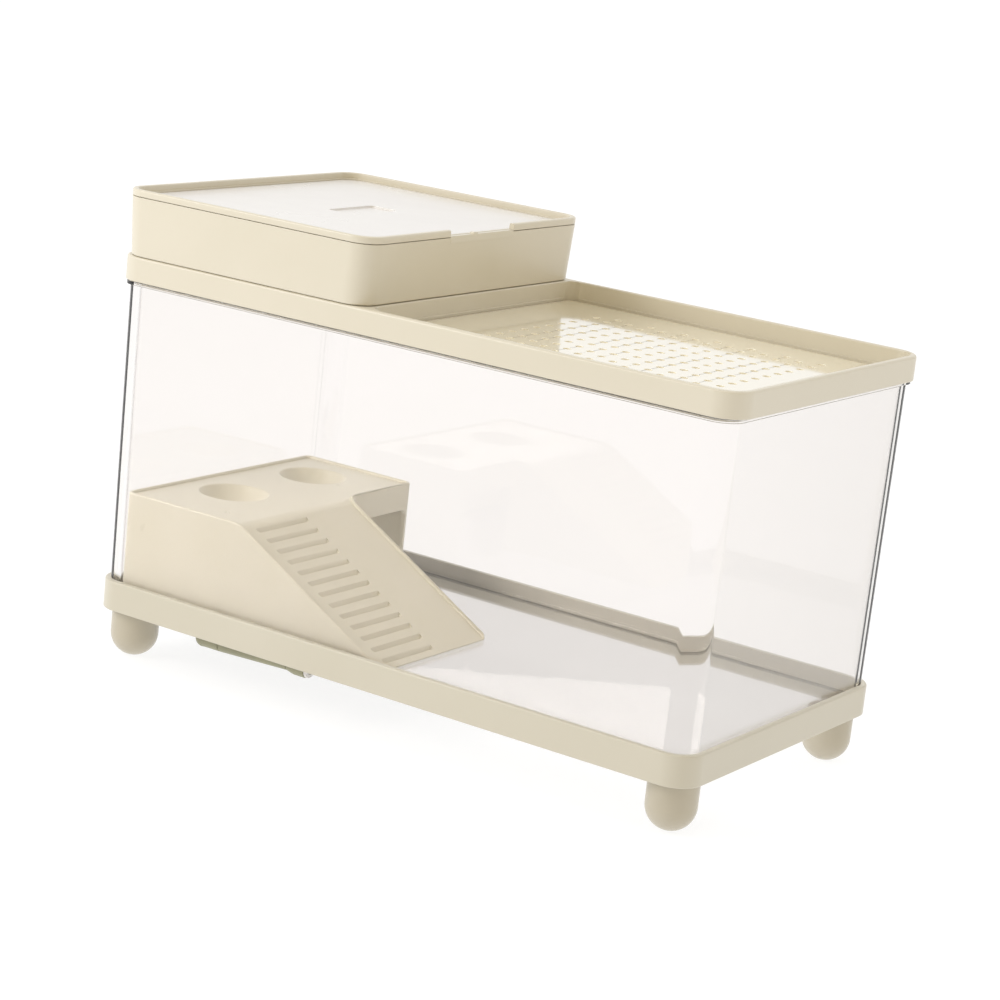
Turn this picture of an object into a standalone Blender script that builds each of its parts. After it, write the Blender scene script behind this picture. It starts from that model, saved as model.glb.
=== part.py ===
"""Turtle tank: a clear tank in a footed base frame, with a basking platform and ramp inside, a lid frame
with a lift-out vent panel, a filter box with its own lid on top, and a swinging drain spout underneath.

Units are metres, +Z is up, +X runs along the length and the front is at -Y.
The origin is on the ground under the middle of the tank."""

import bpy
import bmesh
import math
from mathutils import Matrix, Vector

# Clearances and cuts
seat_gap = 0.0003
slip_gap = 0.0004
cut_overrun = 0.002

# Base frame
base_length = 0.400
base_depth = 0.209
base_height = 0.0176
base_corner = 0.016
base_edge = 0.0012
base_wall = 0.0035
ledge_width = 0.0072
ledge_top = 0.0062
ledge_thickness = 0.0025
boss_wall = 0.0022

# Feet
foot_height = 0.0283
foot_radius = 0.0138
foot_flat = 0.0005
foot_inset_x = 0.0173
foot_inset_y = 0.0193
stud_radius = 0.0050
stud_length = 0.0034

# Tank
tank_height = 0.185
tank_wall = 0.003
tank_floor = 0.003
tank_corner = 0.008
tank_flare = 0.0010
lip_height = 0.0018
lip_width = 0.0022

# Basking platform and ramp
platform_side_gap = 0.0062
platform_front_gap = 0.0012
platform_rear_gap = 0.0252
platform_width = 0.0813
platform_height = 0.0602
platform_wall = 0.0024
platform_corner = 0.005
bend_run = 0.0025
ramp_share = 0.615
ramp_run = 0.1065
ramp_toe = 0.0024
border_width = 0.0017
border_height = 0.0011
groove_count = 13
groove_length = 0.0460
groove_width = 0.0030
groove_depth = 0.0008
groove_pitch = 0.00895
groove_side_margin = 0.0105
groove_top_margin = 0.0058
bowl_radius = 0.0200
bowl_depth = 0.0115
bowl_side_margin = 0.0330
bowl_front_share = 0.3406
bowl_spacing_share = 0.4414
door_height = 0.0440
door_front_margin = 0.0058
door_rear_margin = 0.0052

# Lid frame
lid_over_x = 0.0019
lid_over_y = -0.0005
lid_height = 0.0142
lid_wall = 0.0038
lid_corner = 0.016
lid_edge = 0.0012
lid_ledge_width = 0.0100
lid_ledge_thickness = 0.0012
lid_step_width = 0.0020
lid_rib_wall = 0.0018
lid_rib_depth = 0.0022
divider_share = -0.07
divider_wall = 0.0038

# Vent panel
vent_thickness = 0.0016
vent_corner = 0.005
vent_hole_radius = 0.00225
vent_column_pitch = 0.0109
vent_row_pitch = 0.0123
vent_columns = 14
vent_rows = 12
vent_hole_shift = 0.0016

# Filter box
box_height = 0.0331
box_wall = 0.0026
box_floor = 0.0022
box_corner = 0.0135
box_side_inset = 0.0024
box_divider_overlap = 0.0006
box_flare_x = 0.0020
box_flare_y = 0.0006
box_overhang = 0.0002
plug_depth = 0.0080
plug_gap = 0.0008
outlet_count = 7
outlet_width = 0.0040
outlet_length = 0.0600
outlet_pitch = 0.0180

# Drip tray and sponge in the filter box
insert_gap = 0.0015
tray_thickness = 0.0020
tray_leg = 0.0030
tray_slots = 9
tray_slot_width = 0.0040
tray_slot_margin = 0.0203
tray_slot_pitch = 0.0150
sponge_height = 0.0200

# Filter box lid: cream rim and white panel
rim_height = 0.0039
rim_wall = 0.0032
rim_edge = 0.0008
rim_skirt_wall = 0.0018
rim_skirt_depth = 0.0045
rim_skirt_rise = 0.0006
rim_ledge_width = 0.0042
rim_ledge_thickness = 0.0014
panel_thickness = 0.0026
panel_corner = 0.0112
pocket_length = 0.0420
pocket_width = 0.0190
pocket_depth = 0.0012
pocket_corner = 0.003
pocket_shift = 0.003
notch_width = 0.0620
tongue_height = 0.0008
nub_width = 0.0040
nub_height = 0.0010
nub_offset = -0.0070

# Drain
drain_inset_x = 0.0651
drain_inset_y = 0.0161
drain_drop = 0.0060
stem_radius = 0.0050
stem_bore = 0.0034
stem_below = 0.0005
flange_radius = 0.0088
flange_thickness = 0.0016
seal_thickness = 0.0012
nut_radius = 0.0088
nut_height = 0.0022
nut_sides = 6
strainer_radius = 0.0072
strainer_height = 0.0050
strainer_wall = 0.0012
strainer_slots = 6
strainer_slot_width = 0.0016
elbow_collar_radius = 0.0070
elbow_wall = 0.0013
elbow_radius = 0.0052
elbow_arm_length = 0.0130
elbow_bore = 0.0030
barb_radius = 0.0021
barb_bore = 0.0012
barb_length = 0.0090
pipe_start_radius = 0.0050
pipe_end_radius = 0.0034
pipe_bore = 0.0025
pipe_length = 0.0480
nozzle_radius = 0.0046
nozzle_flare = 0.0050
nozzle_length = 0.0130
nozzle_tail = 0.0080
nozzle_bore = 0.0028
plug_head_radius = 0.0042
plug_head = 0.0018
plug_stem = 0.0070
plug_recess_radius = 0.0020
plug_recess = 0.0040

# Mesh resolution
corner_steps = 5
round_steps = 24
small_steps = 16
hole_sides = 8
round_share = 0.5
slot_round_share = 0.45

# Heights of the stack
z_base = foot_height
z_ledge = z_base + ledge_top
z_tank = z_ledge + seat_gap
z_floor = z_tank + tank_floor
z_tank_top = z_tank + tank_height
z_platform = z_floor + seat_gap
z_platform_top = z_platform + platform_height
z_lid = z_tank_top + seat_gap
z_lid_ledge = z_lid + lid_ledge_thickness
z_lid_top = z_lid + lid_height
z_vent = z_lid_ledge + seat_gap
z_vent_top = z_vent + vent_thickness
z_box = z_lid_top + seat_gap
z_plug = z_box - plug_depth
z_box_floor = z_plug + box_floor
z_box_top = z_box + box_height
z_tray = z_box_floor + seat_gap
z_tray_top = z_tray + tray_leg + tray_thickness
z_sponge = z_tray_top + seat_gap
z_rim = z_box_top + seat_gap
z_rim_top = z_rim + rim_height
z_panel = z_rim - rim_skirt_depth + rim_ledge_thickness + seat_gap
z_panel_top = z_panel + panel_thickness

# Half sizes that neighbours share
base_x = base_length / 2
base_y = base_depth / 2
tank_x = base_x - base_wall - slip_gap
tank_y = base_y - base_wall - slip_gap
tank_top_x = tank_x + tank_flare
tank_top_y = tank_y + tank_flare
inner_x = tank_x - tank_wall
inner_y = tank_y - tank_wall
platform_depth = 2 * inner_y - platform_front_gap - platform_rear_gap
ramp_width = platform_depth * ramp_share
door_width = platform_depth - ramp_width - door_front_margin - door_rear_margin
lid_x = base_x + lid_over_x
lid_y = base_y + lid_over_y
bay_x = lid_x - lid_wall
bay_y = lid_y - lid_wall
lid_inner_corner = lid_corner - lid_wall
divider_x = base_length * divider_share
box_left = -lid_x + box_side_inset + box_flare_x
box_right = divider_x - box_divider_overlap
box_y = lid_y + box_overhang
box_top_left = box_left - box_flare_x
box_top_right = box_right + box_flare_x
box_top_y = box_y + box_flare_y
drain_x = -tank_x + drain_inset_x
drain_y = -tank_y + drain_inset_y
drain_z = z_base - drain_drop
stem_clear = stem_radius + seat_gap

cream = (0.80, 0.74, 0.60)
cream_light = (0.83, 0.78, 0.65)
clear = (0.93, 0.95, 0.95)
white = (0.88, 0.87, 0.86)
grey_green = (0.45, 0.45, 0.36)
dark_rubber = (0.05, 0.05, 0.05)
sponge_white = (0.72, 0.74, 0.76)


def clear_scene():
    for item in list(bpy.data.objects):
        bpy.data.objects.remove(item, do_unlink=True)
    for group in list(bpy.data.collections):
        bpy.data.collections.remove(group)


def new_collection(name):
    group = bpy.data.collections.new(name)
    bpy.context.scene.collection.children.link(group)
    return group


def new_material(name, colour, roughness, alpha=1.0):
    material = bpy.data.materials.new(name)
    material.use_nodes = True
    shader = material.node_tree.nodes["Principled BSDF"]
    shader.inputs["Base Color"].default_value = (*colour, 1.0)
    shader.inputs["Roughness"].default_value = roughness
    shader.inputs["Metallic"].default_value = 0.0
    shader.inputs["Alpha"].default_value = alpha
    return material


def new_piece(name, bm, location, material=None):
    """A mesh object in the tank's collection, or a cutter where no material is given."""
    mesh = bpy.data.meshes.new(name)
    bm.normal_update()
    bm.to_mesh(mesh)
    bm.free()
    piece = bpy.data.objects.new(name, mesh)
    piece.location = location
    if material is None:
        cutters.objects.link(piece)
        piece.hide_render = True
        piece.display_type = "WIRE"
    else:
        parts.objects.link(piece)
        mesh.materials.append(material)
    return piece


def boolean(piece, other, operation):
    step = piece.modifiers.new(f"{operation.lower()} {other.name}", "BOOLEAN")
    step.operation = operation
    step.solver = "EXACT"
    step.object = other


def cut(piece, *others):
    for other in others:
        boolean(piece, other, "DIFFERENCE")


def join(piece, *others):
    for other in others:
        boolean(piece, other, "UNION")


def joint_empty(name, location, parent=None):
    empty = bpy.data.objects.new(name, None)
    parts.objects.link(empty)
    rest[name] = Vector(location)
    empty.location = location
    if parent is not None:
        empty.parent = parent
        empty.location = rest[name] - rest[parent.name]
    return empty


def carry(empty, *pieces):
    """Parents pieces that were placed in world coordinates to the empty on their joint."""
    for piece in pieces:
        piece.parent = empty
        piece.matrix_parent_inverse = Matrix.Translation(-rest[empty.name])


def slab(name, low, high, corner=0.0, flare=(0.0, 0.0), edge=0.0, material=None, steps=corner_steps):
    """An upright block with rounded corners. flare spreads its top in X and Y, edge rounds its top rim."""
    size = [high[i] - low[i] for i in range(3)]
    centre = ((low[0] + high[0]) / 2, (low[1] + high[1]) / 2, low[2])
    bm = bmesh.new()
    bmesh.ops.create_cube(bm, size=1)
    for vert in bm.verts:
        top = vert.co.z > 0
        spread = flare if top else (0.0, 0.0)
        vert.co.x *= size[0] + 2 * spread[0]
        vert.co.y *= size[1] + 2 * spread[1]
        vert.co.z = size[2] if top else 0.0
    if corner > 0:
        upright = [e for e in bm.edges if abs(e.verts[0].co.z - e.verts[1].co.z) > size[2] / 2]
        bmesh.ops.bevel(bm, geom=upright, offset=corner, segments=steps, profile=round_share,
                        affect="EDGES")
    if edge > 0:
        rim = [e for e in bm.edges if min(v.co.z for v in e.verts) > size[2] / 2]
        bmesh.ops.bevel(bm, geom=rim, offset=edge, segments=2, profile=round_share, affect="EDGES")
    return new_piece(name, bm, centre, material)


def turned(name, profile, location, material=None, steps=round_steps, closed=False):
    """A shape turned round Z. The profile of (radius, height) runs down its outer side."""
    bm = bmesh.new()
    verts = [bm.verts.new((radius, 0.0, height)) for radius, height in profile]
    pairs = list(zip(verts, verts[1:]))
    if closed:
        pairs.append((verts[-1], verts[0]))
    for first, second in pairs:
        bm.edges.new((first, second))
    piece = new_piece(name, bm, location, material)
    screw = piece.modifiers.new("turn", "SCREW")
    screw.axis = "Z"
    screw.steps = steps
    screw.render_steps = steps
    screw.use_merge_vertices = True
    screw.merge_threshold = seat_gap / 10
    screw.use_smooth_shade = False
    return piece


def ring(outer, inner, low, high):
    """A closed profile of a plain ring, down the outside and up the bore."""
    return [(outer, high), (outer, low), (inner, low), (inner, high)]


def rod(name, start, along, radius, length, steps=small_steps, material=None):
    """A plain cylinder that starts at a point and runs along X or Z, and keeps its length's sign."""
    bm = bmesh.new()
    bmesh.ops.create_cone(bm, cap_ends=True, segments=steps, radius1=radius, radius2=radius, depth=abs(length))
    shift = Matrix.Translation((0, 0, length / 2))
    turn = Matrix.Rotation(math.pi / 2, 4, "Y") if along == "X" else Matrix.Identity(4)
    bmesh.ops.transform(bm, matrix=turn @ shift, verts=bm.verts)
    return new_piece(name, bm, start, material)


def extruded(name, outline, y_low, y_high, material=None):
    """A side outline of (x, z) points, counter-clockwise seen from the front, pulled along Y."""
    bm = bmesh.new()
    front = [bm.verts.new((x, y_low, z)) for x, z in outline]
    face = bm.faces.new(front)
    pulled = bmesh.ops.extrude_face_region(bm, geom=[face])
    moved = [item for item in pulled["geom"] if isinstance(item, bmesh.types.BMVert)]
    bmesh.ops.translate(bm, vec=(0, y_high - y_low, 0), verts=moved)
    bmesh.ops.recalc_face_normals(bm, faces=bm.faces)
    return new_piece(name, bm, (0, 0, 0), material)


def copies(name, template_size, places, corner, turn=None):
    """One cutter that holds a rounded block at each place."""
    bm = bmesh.new()
    for place in places:
        block = bmesh.new()
        bmesh.ops.create_cube(block, size=1)
        bmesh.ops.scale(block, vec=template_size, verts=block.verts)
        half = template_size[2] / 2
        upright = [e for e in block.edges if abs(e.verts[0].co.z - e.verts[1].co.z) > half]
        if corner > 0:
            bmesh.ops.bevel(block, geom=upright, offset=corner, segments=2, profile=round_share,
                            affect="EDGES")
        if turn is not None:
            bmesh.ops.transform(block, matrix=turn, verts=block.verts)
        bmesh.ops.translate(block, vec=place, verts=block.verts)
        copy = bpy.data.meshes.new(name)
        block.to_mesh(copy)
        block.free()
        bm.from_mesh(copy)
        bpy.data.meshes.remove(copy)
    return new_piece(name, bm, (0, 0, 0))


def make_base_frame():
    frame = slab("base_frame", (-base_x, -base_y, z_base), (base_x, base_y, z_base + base_height),
                 base_corner, edge=base_edge, material=material_cream)
    seat_corner = tank_corner + slip_gap
    seat = slab("tank_seat", (-tank_x - slip_gap, -tank_y - slip_gap, z_ledge),
                (tank_x + slip_gap, tank_y + slip_gap, z_base + base_height + cut_overrun), seat_corner)
    window_x = base_x - base_wall - ledge_width
    window_y = base_y - base_wall - ledge_width
    window = slab("base_window", (-window_x, -window_y, z_base - cut_overrun),
                  (window_x, window_y, z_ledge + cut_overrun), seat_corner)
    under_top = z_ledge - ledge_thickness
    channel = slab("base_channel", (-base_x + base_wall, -base_y + base_wall, z_base - cut_overrun),
                   (base_x - base_wall, base_y - base_wall, under_top), seat_corner)
    cut(frame, channel, seat, window)
    boss_radius = stud_radius + seat_gap + boss_wall
    for name, x, y in foot_places():
        boss = rod(f"boss_{name}", (x, y, z_base), "Z", boss_radius, ledge_top - ledge_thickness / 2)
        join(frame, boss)
    for name, x, y in foot_places():
        socket = rod(f"socket_{name}", (x, y, z_base - cut_overrun), "Z", stud_radius + seat_gap,
                     stud_length + seat_gap + cut_overrun)
        cut(frame, socket)
    return frame


def foot_places():
    x = base_x - foot_inset_x
    y = base_y - foot_inset_y
    return [("front_left", -x, -y), ("front_right", x, -y), ("rear_left", -x, y), ("rear_right", x, y)]


def make_feet():
    """Bullet feet with a round end, a small flat at the tip and a stud that pushes into the base."""
    top = foot_height - seat_gap
    profile = [(0.0, top + stud_length), (stud_radius, top + stud_length), (stud_radius, top)]
    profile.append((foot_radius, top))
    tip_angle = math.acos(1 - foot_flat / foot_radius)
    centre = foot_radius - foot_flat
    arc_steps = 7
    for i in range(arc_steps + 1):
        angle = math.pi / 2 - (math.pi / 2 - tip_angle) * i / arc_steps
        profile.append((foot_radius * math.sin(angle), centre - foot_radius * math.cos(angle)))
    profile[-1] = (profile[-1][0], 0.0)
    profile.append((0.0, 0.0))
    for name, x, y in foot_places():
        turned(f"foot_{name}", profile, (x, y, 0), material_cream)


def make_tank():
    tank = slab("tank_shell", (-tank_x, -tank_y, z_tank), (tank_x, tank_y, z_tank_top), tank_corner,
                (tank_flare, tank_flare), material=material_clear)
    lip_x = tank_top_x + lip_width
    lip_y = tank_top_y + lip_width
    lip = slab("tank_lip", (-lip_x, -lip_y, z_tank_top - lip_height), (lip_x, lip_y, z_tank_top),
               tank_corner + lip_width)
    hollow_flare = tank_flare * (tank_height - tank_floor + cut_overrun) / tank_height
    start = tank_flare - hollow_flare
    hollow = slab("tank_hollow", (-inner_x - start, -inner_y - start, z_floor),
                  (inner_x + start, inner_y + start, z_tank_top + cut_overrun), tank_corner - tank_wall,
                  (hollow_flare, hollow_flare))
    drain_hole = rod("drain_hole", (drain_x, drain_y, z_tank - cut_overrun), "Z", stem_clear,
                     tank_floor + 2 * cut_overrun)
    join(tank, lip)
    cut(tank, hollow, drain_hole)
    return tank


def make_drain_fitting():
    """The fixed pieces in the tank's floor: strainer, flanged outlet, seal and lock nut."""
    place = (drain_x, drain_y, 0)
    seal_low = z_floor + seat_gap
    seal_high = seal_low + seal_thickness
    flange_low = seal_high + seat_gap
    flange_high = flange_low + flange_thickness
    turned("drain_seal", ring(flange_radius, stem_clear, seal_low, seal_high), place, material_rubber,
           small_steps, closed=True)
    stem_low = z_base - stem_below
    turned("drain_outlet",
           [(flange_radius, flange_high), (flange_radius, flange_low), (stem_radius, flange_low),
            (stem_radius, stem_low), (stem_bore, stem_low), (stem_bore, flange_high)],
           place, material_fitting, small_steps, closed=True)
    nut_high = z_tank - seat_gap
    nut_place = (drain_x, drain_y, nut_high - nut_height)
    nut = rod("drain_nut", nut_place, "Z", nut_radius, nut_height, nut_sides, material_fitting)
    cut(nut, rod("nut_bore", (drain_x, drain_y, nut_high + cut_overrun), "Z", stem_clear,
                 -nut_height - 2 * cut_overrun))
    strainer_low = flange_high + seat_gap
    strainer_high = strainer_low + strainer_height
    strainer_inside = strainer_radius - strainer_wall
    strainer = turned("drain_strainer",
                      [(0.0, strainer_high), (strainer_radius, strainer_high),
                       (strainer_radius, strainer_low), (strainer_inside, strainer_low),
                       (strainer_inside, strainer_high - strainer_wall), (0.0, strainer_high - strainer_wall)],
                      place, material_cream, small_steps)
    slot_height = strainer_height - 2 * strainer_wall
    slot_size = (strainer_radius + cut_overrun, strainer_slot_width, slot_height)
    slot_reach = (strainer_radius + 2 * cut_overrun) / 2 + strainer_wall
    bm = bmesh.new()
    for i in range(strainer_slots):
        turn = Matrix.Rotation(2 * math.pi * i / strainer_slots, 3, "Z")
        block = bmesh.ops.create_cube(bm, size=1)["verts"]
        bmesh.ops.scale(bm, vec=slot_size, verts=block)
        bmesh.ops.translate(bm, vec=(slot_reach, 0, 0), verts=block)
        bmesh.ops.rotate(bm, matrix=turn, verts=block)
    slots = new_piece("strainer_slots", bm,
                      (drain_x, drain_y, strainer_low + strainer_wall + slot_height / 2))
    cut(strainer, slots)


def make_drain_spout():
    """The elbow, pipe, nozzle and stopper, which swing together round the outlet's upright axis."""
    pivot = joint_empty("drain_pivot", (drain_x, drain_y, drain_z))
    arm_end = drain_x + elbow_arm_length
    elbow_top = z_tank - seat_gap - nut_height - seat_gap
    stem_low = z_base - stem_below
    collar_low = stem_low - seat_gap - elbow_wall
    middle = (drain_x, drain_y, drain_z)
    profile = [(0.0, elbow_top), (elbow_collar_radius, elbow_top), (elbow_collar_radius, collar_low),
               (elbow_radius, collar_low)]
    arc_steps = 5
    for i in range(arc_steps):
        angle = math.pi / 2 * i / arc_steps
        profile.append((elbow_radius * math.cos(angle), drain_z - elbow_radius * math.sin(angle)))
    profile.append((0.0, drain_z - elbow_radius))
    elbow = turned("drain_elbow", profile, (drain_x, drain_y, 0), material_fitting, small_steps)
    arm = rod("elbow_arm", middle, "X", pipe_start_radius, elbow_arm_length)
    barb = rod("elbow_barb", middle, "X", barb_radius, elbow_arm_length + barb_length)
    socket = rod("elbow_socket", (drain_x, drain_y, stem_low - seat_gap), "Z", stem_clear,
                 elbow_top - stem_low + cut_overrun)
    riser_bore = rod("elbow_riser_bore", middle, "Z", elbow_bore, elbow_top - drain_z + cut_overrun / 2)
    arm_bore = rod("elbow_arm_bore", middle, "X", barb_bore, elbow_arm_length + barb_length + cut_overrun,
                   steps=small_steps // 2)
    join(elbow, arm, barb)
    cut(elbow, socket, riser_bore, arm_bore)

    lay = Matrix.Rotation(math.pi / 2, 4, "Y")
    pipe_start = arm_end + seat_gap
    pipe = turned("drain_pipe",
                  [(pipe_end_radius, pipe_length), (pipe_start_radius, 0.0), (pipe_bore, 0.0),
                   (pipe_bore, pipe_length)],
                  (0, 0, 0), material_fitting, small_steps, closed=True)
    pipe_end = pipe_start + pipe_length
    tail_start = pipe_end - nozzle_tail
    body_start = pipe_end + seat_gap
    body = body_start - tail_start
    nozzle = turned("drain_nozzle",
                    [(nozzle_radius, body + nozzle_length), (nozzle_radius, body + nozzle_flare),
                     (pipe_end_radius, body), (barb_radius, body), (barb_radius, 0.0), (barb_bore, 0.0),
                     (barb_bore, body + nozzle_flare), (nozzle_bore, body + nozzle_flare),
                     (nozzle_bore, body + nozzle_length)],
                    (0, 0, 0), material_fitting, small_steps, closed=True)
    head_start = body_start + nozzle_length + seat_gap
    plug_radius = nozzle_bore - seat_gap
    plug = turned("drain_plug",
                  [(0.0, plug_head - plug_recess), (plug_recess_radius, plug_head - plug_recess),
                   (plug_recess_radius, plug_head), (plug_head_radius, plug_head), (plug_head_radius, 0.0),
                   (plug_radius, 0.0), (plug_radius, -plug_stem), (0.0, -plug_stem)],
                  (0, 0, 0), material_white, small_steps)
    for piece, start in ((pipe, pipe_start), (nozzle, tail_start), (plug, head_start)):
        piece.matrix_world = Matrix.Translation((start, drain_y, drain_z)) @ lay
    plug_slide = joint_empty("plug_slide", (head_start, drain_y, drain_z), pivot)
    carry(pivot, elbow, pipe, nozzle)
    carry(plug_slide, plug)


def make_platform():
    left = -inner_x + platform_side_gap
    right = left + platform_width
    front = -inner_y + platform_front_gap
    rear = front + platform_depth
    ramp_rear = front + ramp_width
    bend = right + bend_run
    toe = right + ramp_run
    top = z_platform_top
    toe_top = z_platform + ramp_toe
    slope = math.atan2(top - toe_top, toe - bend)
    inside = right - platform_wall - platform_corner

    platform = slab("basking_platform", (left, front, z_platform), (right, rear, top), platform_corner,
                    material=material_platform)
    ramp = extruded("ramp_wedge", [(inside, z_platform), (toe, z_platform), (toe, toe_top), (bend, top),
                                   (inside, top)], front, ramp_rear)
    join(platform, ramp)

    # The sunk surface leaves a raised border round the top and down both sides of the ramp.
    sink = border_height / math.cos(slope)
    deck_cut = slab("deck_cut", (left + border_width, front + border_width, top - border_height),
                    (right - border_width, rear - border_width, top + cut_overrun),
                    platform_corner - border_width)
    past_toe = toe + cut_overrun
    past_z = toe_top - sink - cut_overrun * math.tan(slope)
    sink_bend = bend - (sink - border_height) / math.tan(slope)
    ramp_cut = extruded("ramp_cut", [(inside, top - border_height), (sink_bend, top - border_height),
                                     (past_toe, past_z), (past_toe, top + cut_overrun),
                                     (inside, top + cut_overrun)],
                        front + border_width, ramp_rear - border_width)
    join(deck_cut, ramp_cut)

    # The shell is open underneath, and the bowls hang into it.
    deck_under = top - border_height - platform_wall
    hollow = slab("platform_hollow", (left + platform_wall, front + platform_wall, z_platform - cut_overrun),
                  (right - platform_wall, rear - platform_wall, deck_under), platform_corner - platform_wall)
    under_sink = sink + platform_wall / math.cos(slope)
    under_bend = min(top - under_sink, deck_under)
    under_toe = bend + (under_bend - z_platform) / math.tan(slope)
    ramp_hollow = extruded("ramp_hollow", [(inside, z_platform - cut_overrun),
                                           (under_toe, z_platform - cut_overrun), (under_toe, z_platform),
                                           (bend, under_bend), (inside, under_bend)],
                           front + platform_wall, ramp_rear - platform_wall)
    join(hollow, ramp_hollow)

    deck = top - border_height
    sphere_radius = (bowl_radius ** 2 + bowl_depth ** 2) / (2 * bowl_depth)
    bowl_cutters = []
    for i, name in enumerate(("front", "rear")):
        share = bowl_front_share + i * bowl_spacing_share
        place = (left + bowl_side_margin, front + platform_depth * share, deck - bowl_depth + sphere_radius)
        bowl_cutters.append(ball(f"{name}_bowl_inside", place, sphere_radius))
        cut(hollow, ball(f"{name}_bowl_wall", place, sphere_radius + platform_wall))

    door_rear = rear - door_rear_margin
    door = slab("cave_door", (right - 2 * platform_wall, door_rear - door_width, z_platform - cut_overrun),
                (right + cut_overrun, door_rear, z_platform + door_height))

    grooves = groove_cutter(front, bend, deck, slope, sink - border_height)
    cut(platform, deck_cut, hollow, *bowl_cutters, door, grooves)
    carry(joint_empty("platform_lift", (left, front, z_platform)), platform)
    return platform


def ball(name, place, radius):
    bm = bmesh.new()
    bmesh.ops.create_uvsphere(bm, u_segments=round_steps, v_segments=round_steps // 2, radius=radius)
    return new_piece(name, bm, place)


def groove_cutter(front, bend, deck, slope, extra):
    """Stadium-shaped grooves across the ramp, spaced down its slope."""
    turn = Matrix.Rotation(slope, 4, "Y")
    depth = 2 * groove_depth
    places = []
    y = front + groove_side_margin + groove_length / 2
    for i in range(groove_count):
        along = groove_top_margin + i * groove_pitch
        places.append((bend + along * math.cos(slope), y, deck - extra - along * math.sin(slope)))
    return copies("grooves", (groove_width, groove_length, depth), places,
                  groove_width * slot_round_share, turn)


def make_lid_frame():
    frame = slab("lid_frame", (-lid_x, -lid_y, z_lid), (lid_x, lid_y, z_lid_top), lid_corner, edge=lid_edge,
                 material=material_cream)
    rib_x = tank_top_x - tank_wall - slip_gap
    rib_y = tank_top_y - tank_wall - slip_gap
    rib_corner = tank_corner - tank_wall
    rib = slab("lid_rib", (-rib_x, -rib_y, z_lid - lid_rib_depth),
               (rib_x, rib_y, z_lid + lid_ledge_thickness / 2), rib_corner)
    rib_hollow = slab("lid_rib_hollow",
                      (-rib_x + lid_rib_wall, -rib_y + lid_rib_wall, z_lid - 2 * lid_rib_depth),
                      (rib_x - lid_rib_wall, rib_y - lid_rib_wall, z_lid), rib_corner)
    join(frame, rib)
    cut(frame, rib_hollow)

    high = z_lid_top + cut_overrun
    step_top = z_vent_top
    right_bay = slab("right_bay", (divider_x, -bay_y, step_top), (bay_x, bay_y, high), lid_inner_corner)
    pocket = slab("vent_pocket", (divider_x + lid_step_width, -bay_y + lid_step_width, z_lid_ledge),
                  (bay_x - lid_step_width, bay_y - lid_step_width, high), vent_corner)
    left_bay = slab("left_bay", (-bay_x, -bay_y, z_lid_ledge), (divider_x - divider_wall, bay_y, high),
                    lid_inner_corner)
    under = z_lid - lid_rib_depth - cut_overrun
    right_window = slab("right_window", (divider_x + lid_ledge_width, -bay_y + lid_ledge_width, under),
                        (bay_x - lid_ledge_width, bay_y - lid_ledge_width, high), vent_corner)
    left_window = slab("left_window", (-bay_x + lid_ledge_width, -bay_y + lid_ledge_width, under),
                       (divider_x - divider_wall - lid_ledge_width / 2, bay_y - lid_ledge_width, high),
                       vent_corner)
    cut(frame, right_bay, pocket, left_bay, right_window, left_window)
    return frame


def make_vent_panel():
    """A flat panel with round holes in staggered columns, centred in its pocket."""
    left = divider_x + lid_step_width + slip_gap
    right = bay_x - lid_step_width - slip_gap
    half_y = bay_y - lid_step_width - slip_gap
    panel = slab("vent_panel", (left, -half_y, z_vent), (right, half_y, z_vent_top), vent_corner - slip_gap,
                 material=material_cream)
    centre = (left + right) / 2 + vent_hole_shift
    bm = bmesh.new()
    for column in range(vent_columns):
        x = centre + (column - (vent_columns - 1) / 2) * vent_column_pitch
        rows = vent_rows - (column + 1) % 2
        for row in range(rows):
            y = (row - (rows - 1) / 2) * vent_row_pitch
            made = bmesh.ops.create_cone(bm, cap_ends=True, segments=hole_sides, radius1=vent_hole_radius,
                                         radius2=vent_hole_radius, depth=vent_thickness + 2 * cut_overrun)
            bmesh.ops.translate(bm, vec=(x, y, z_vent + vent_thickness / 2), verts=made["verts"])
    cut(panel, new_piece("vent_holes", bm, (0, 0, 0)))
    return panel


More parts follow.
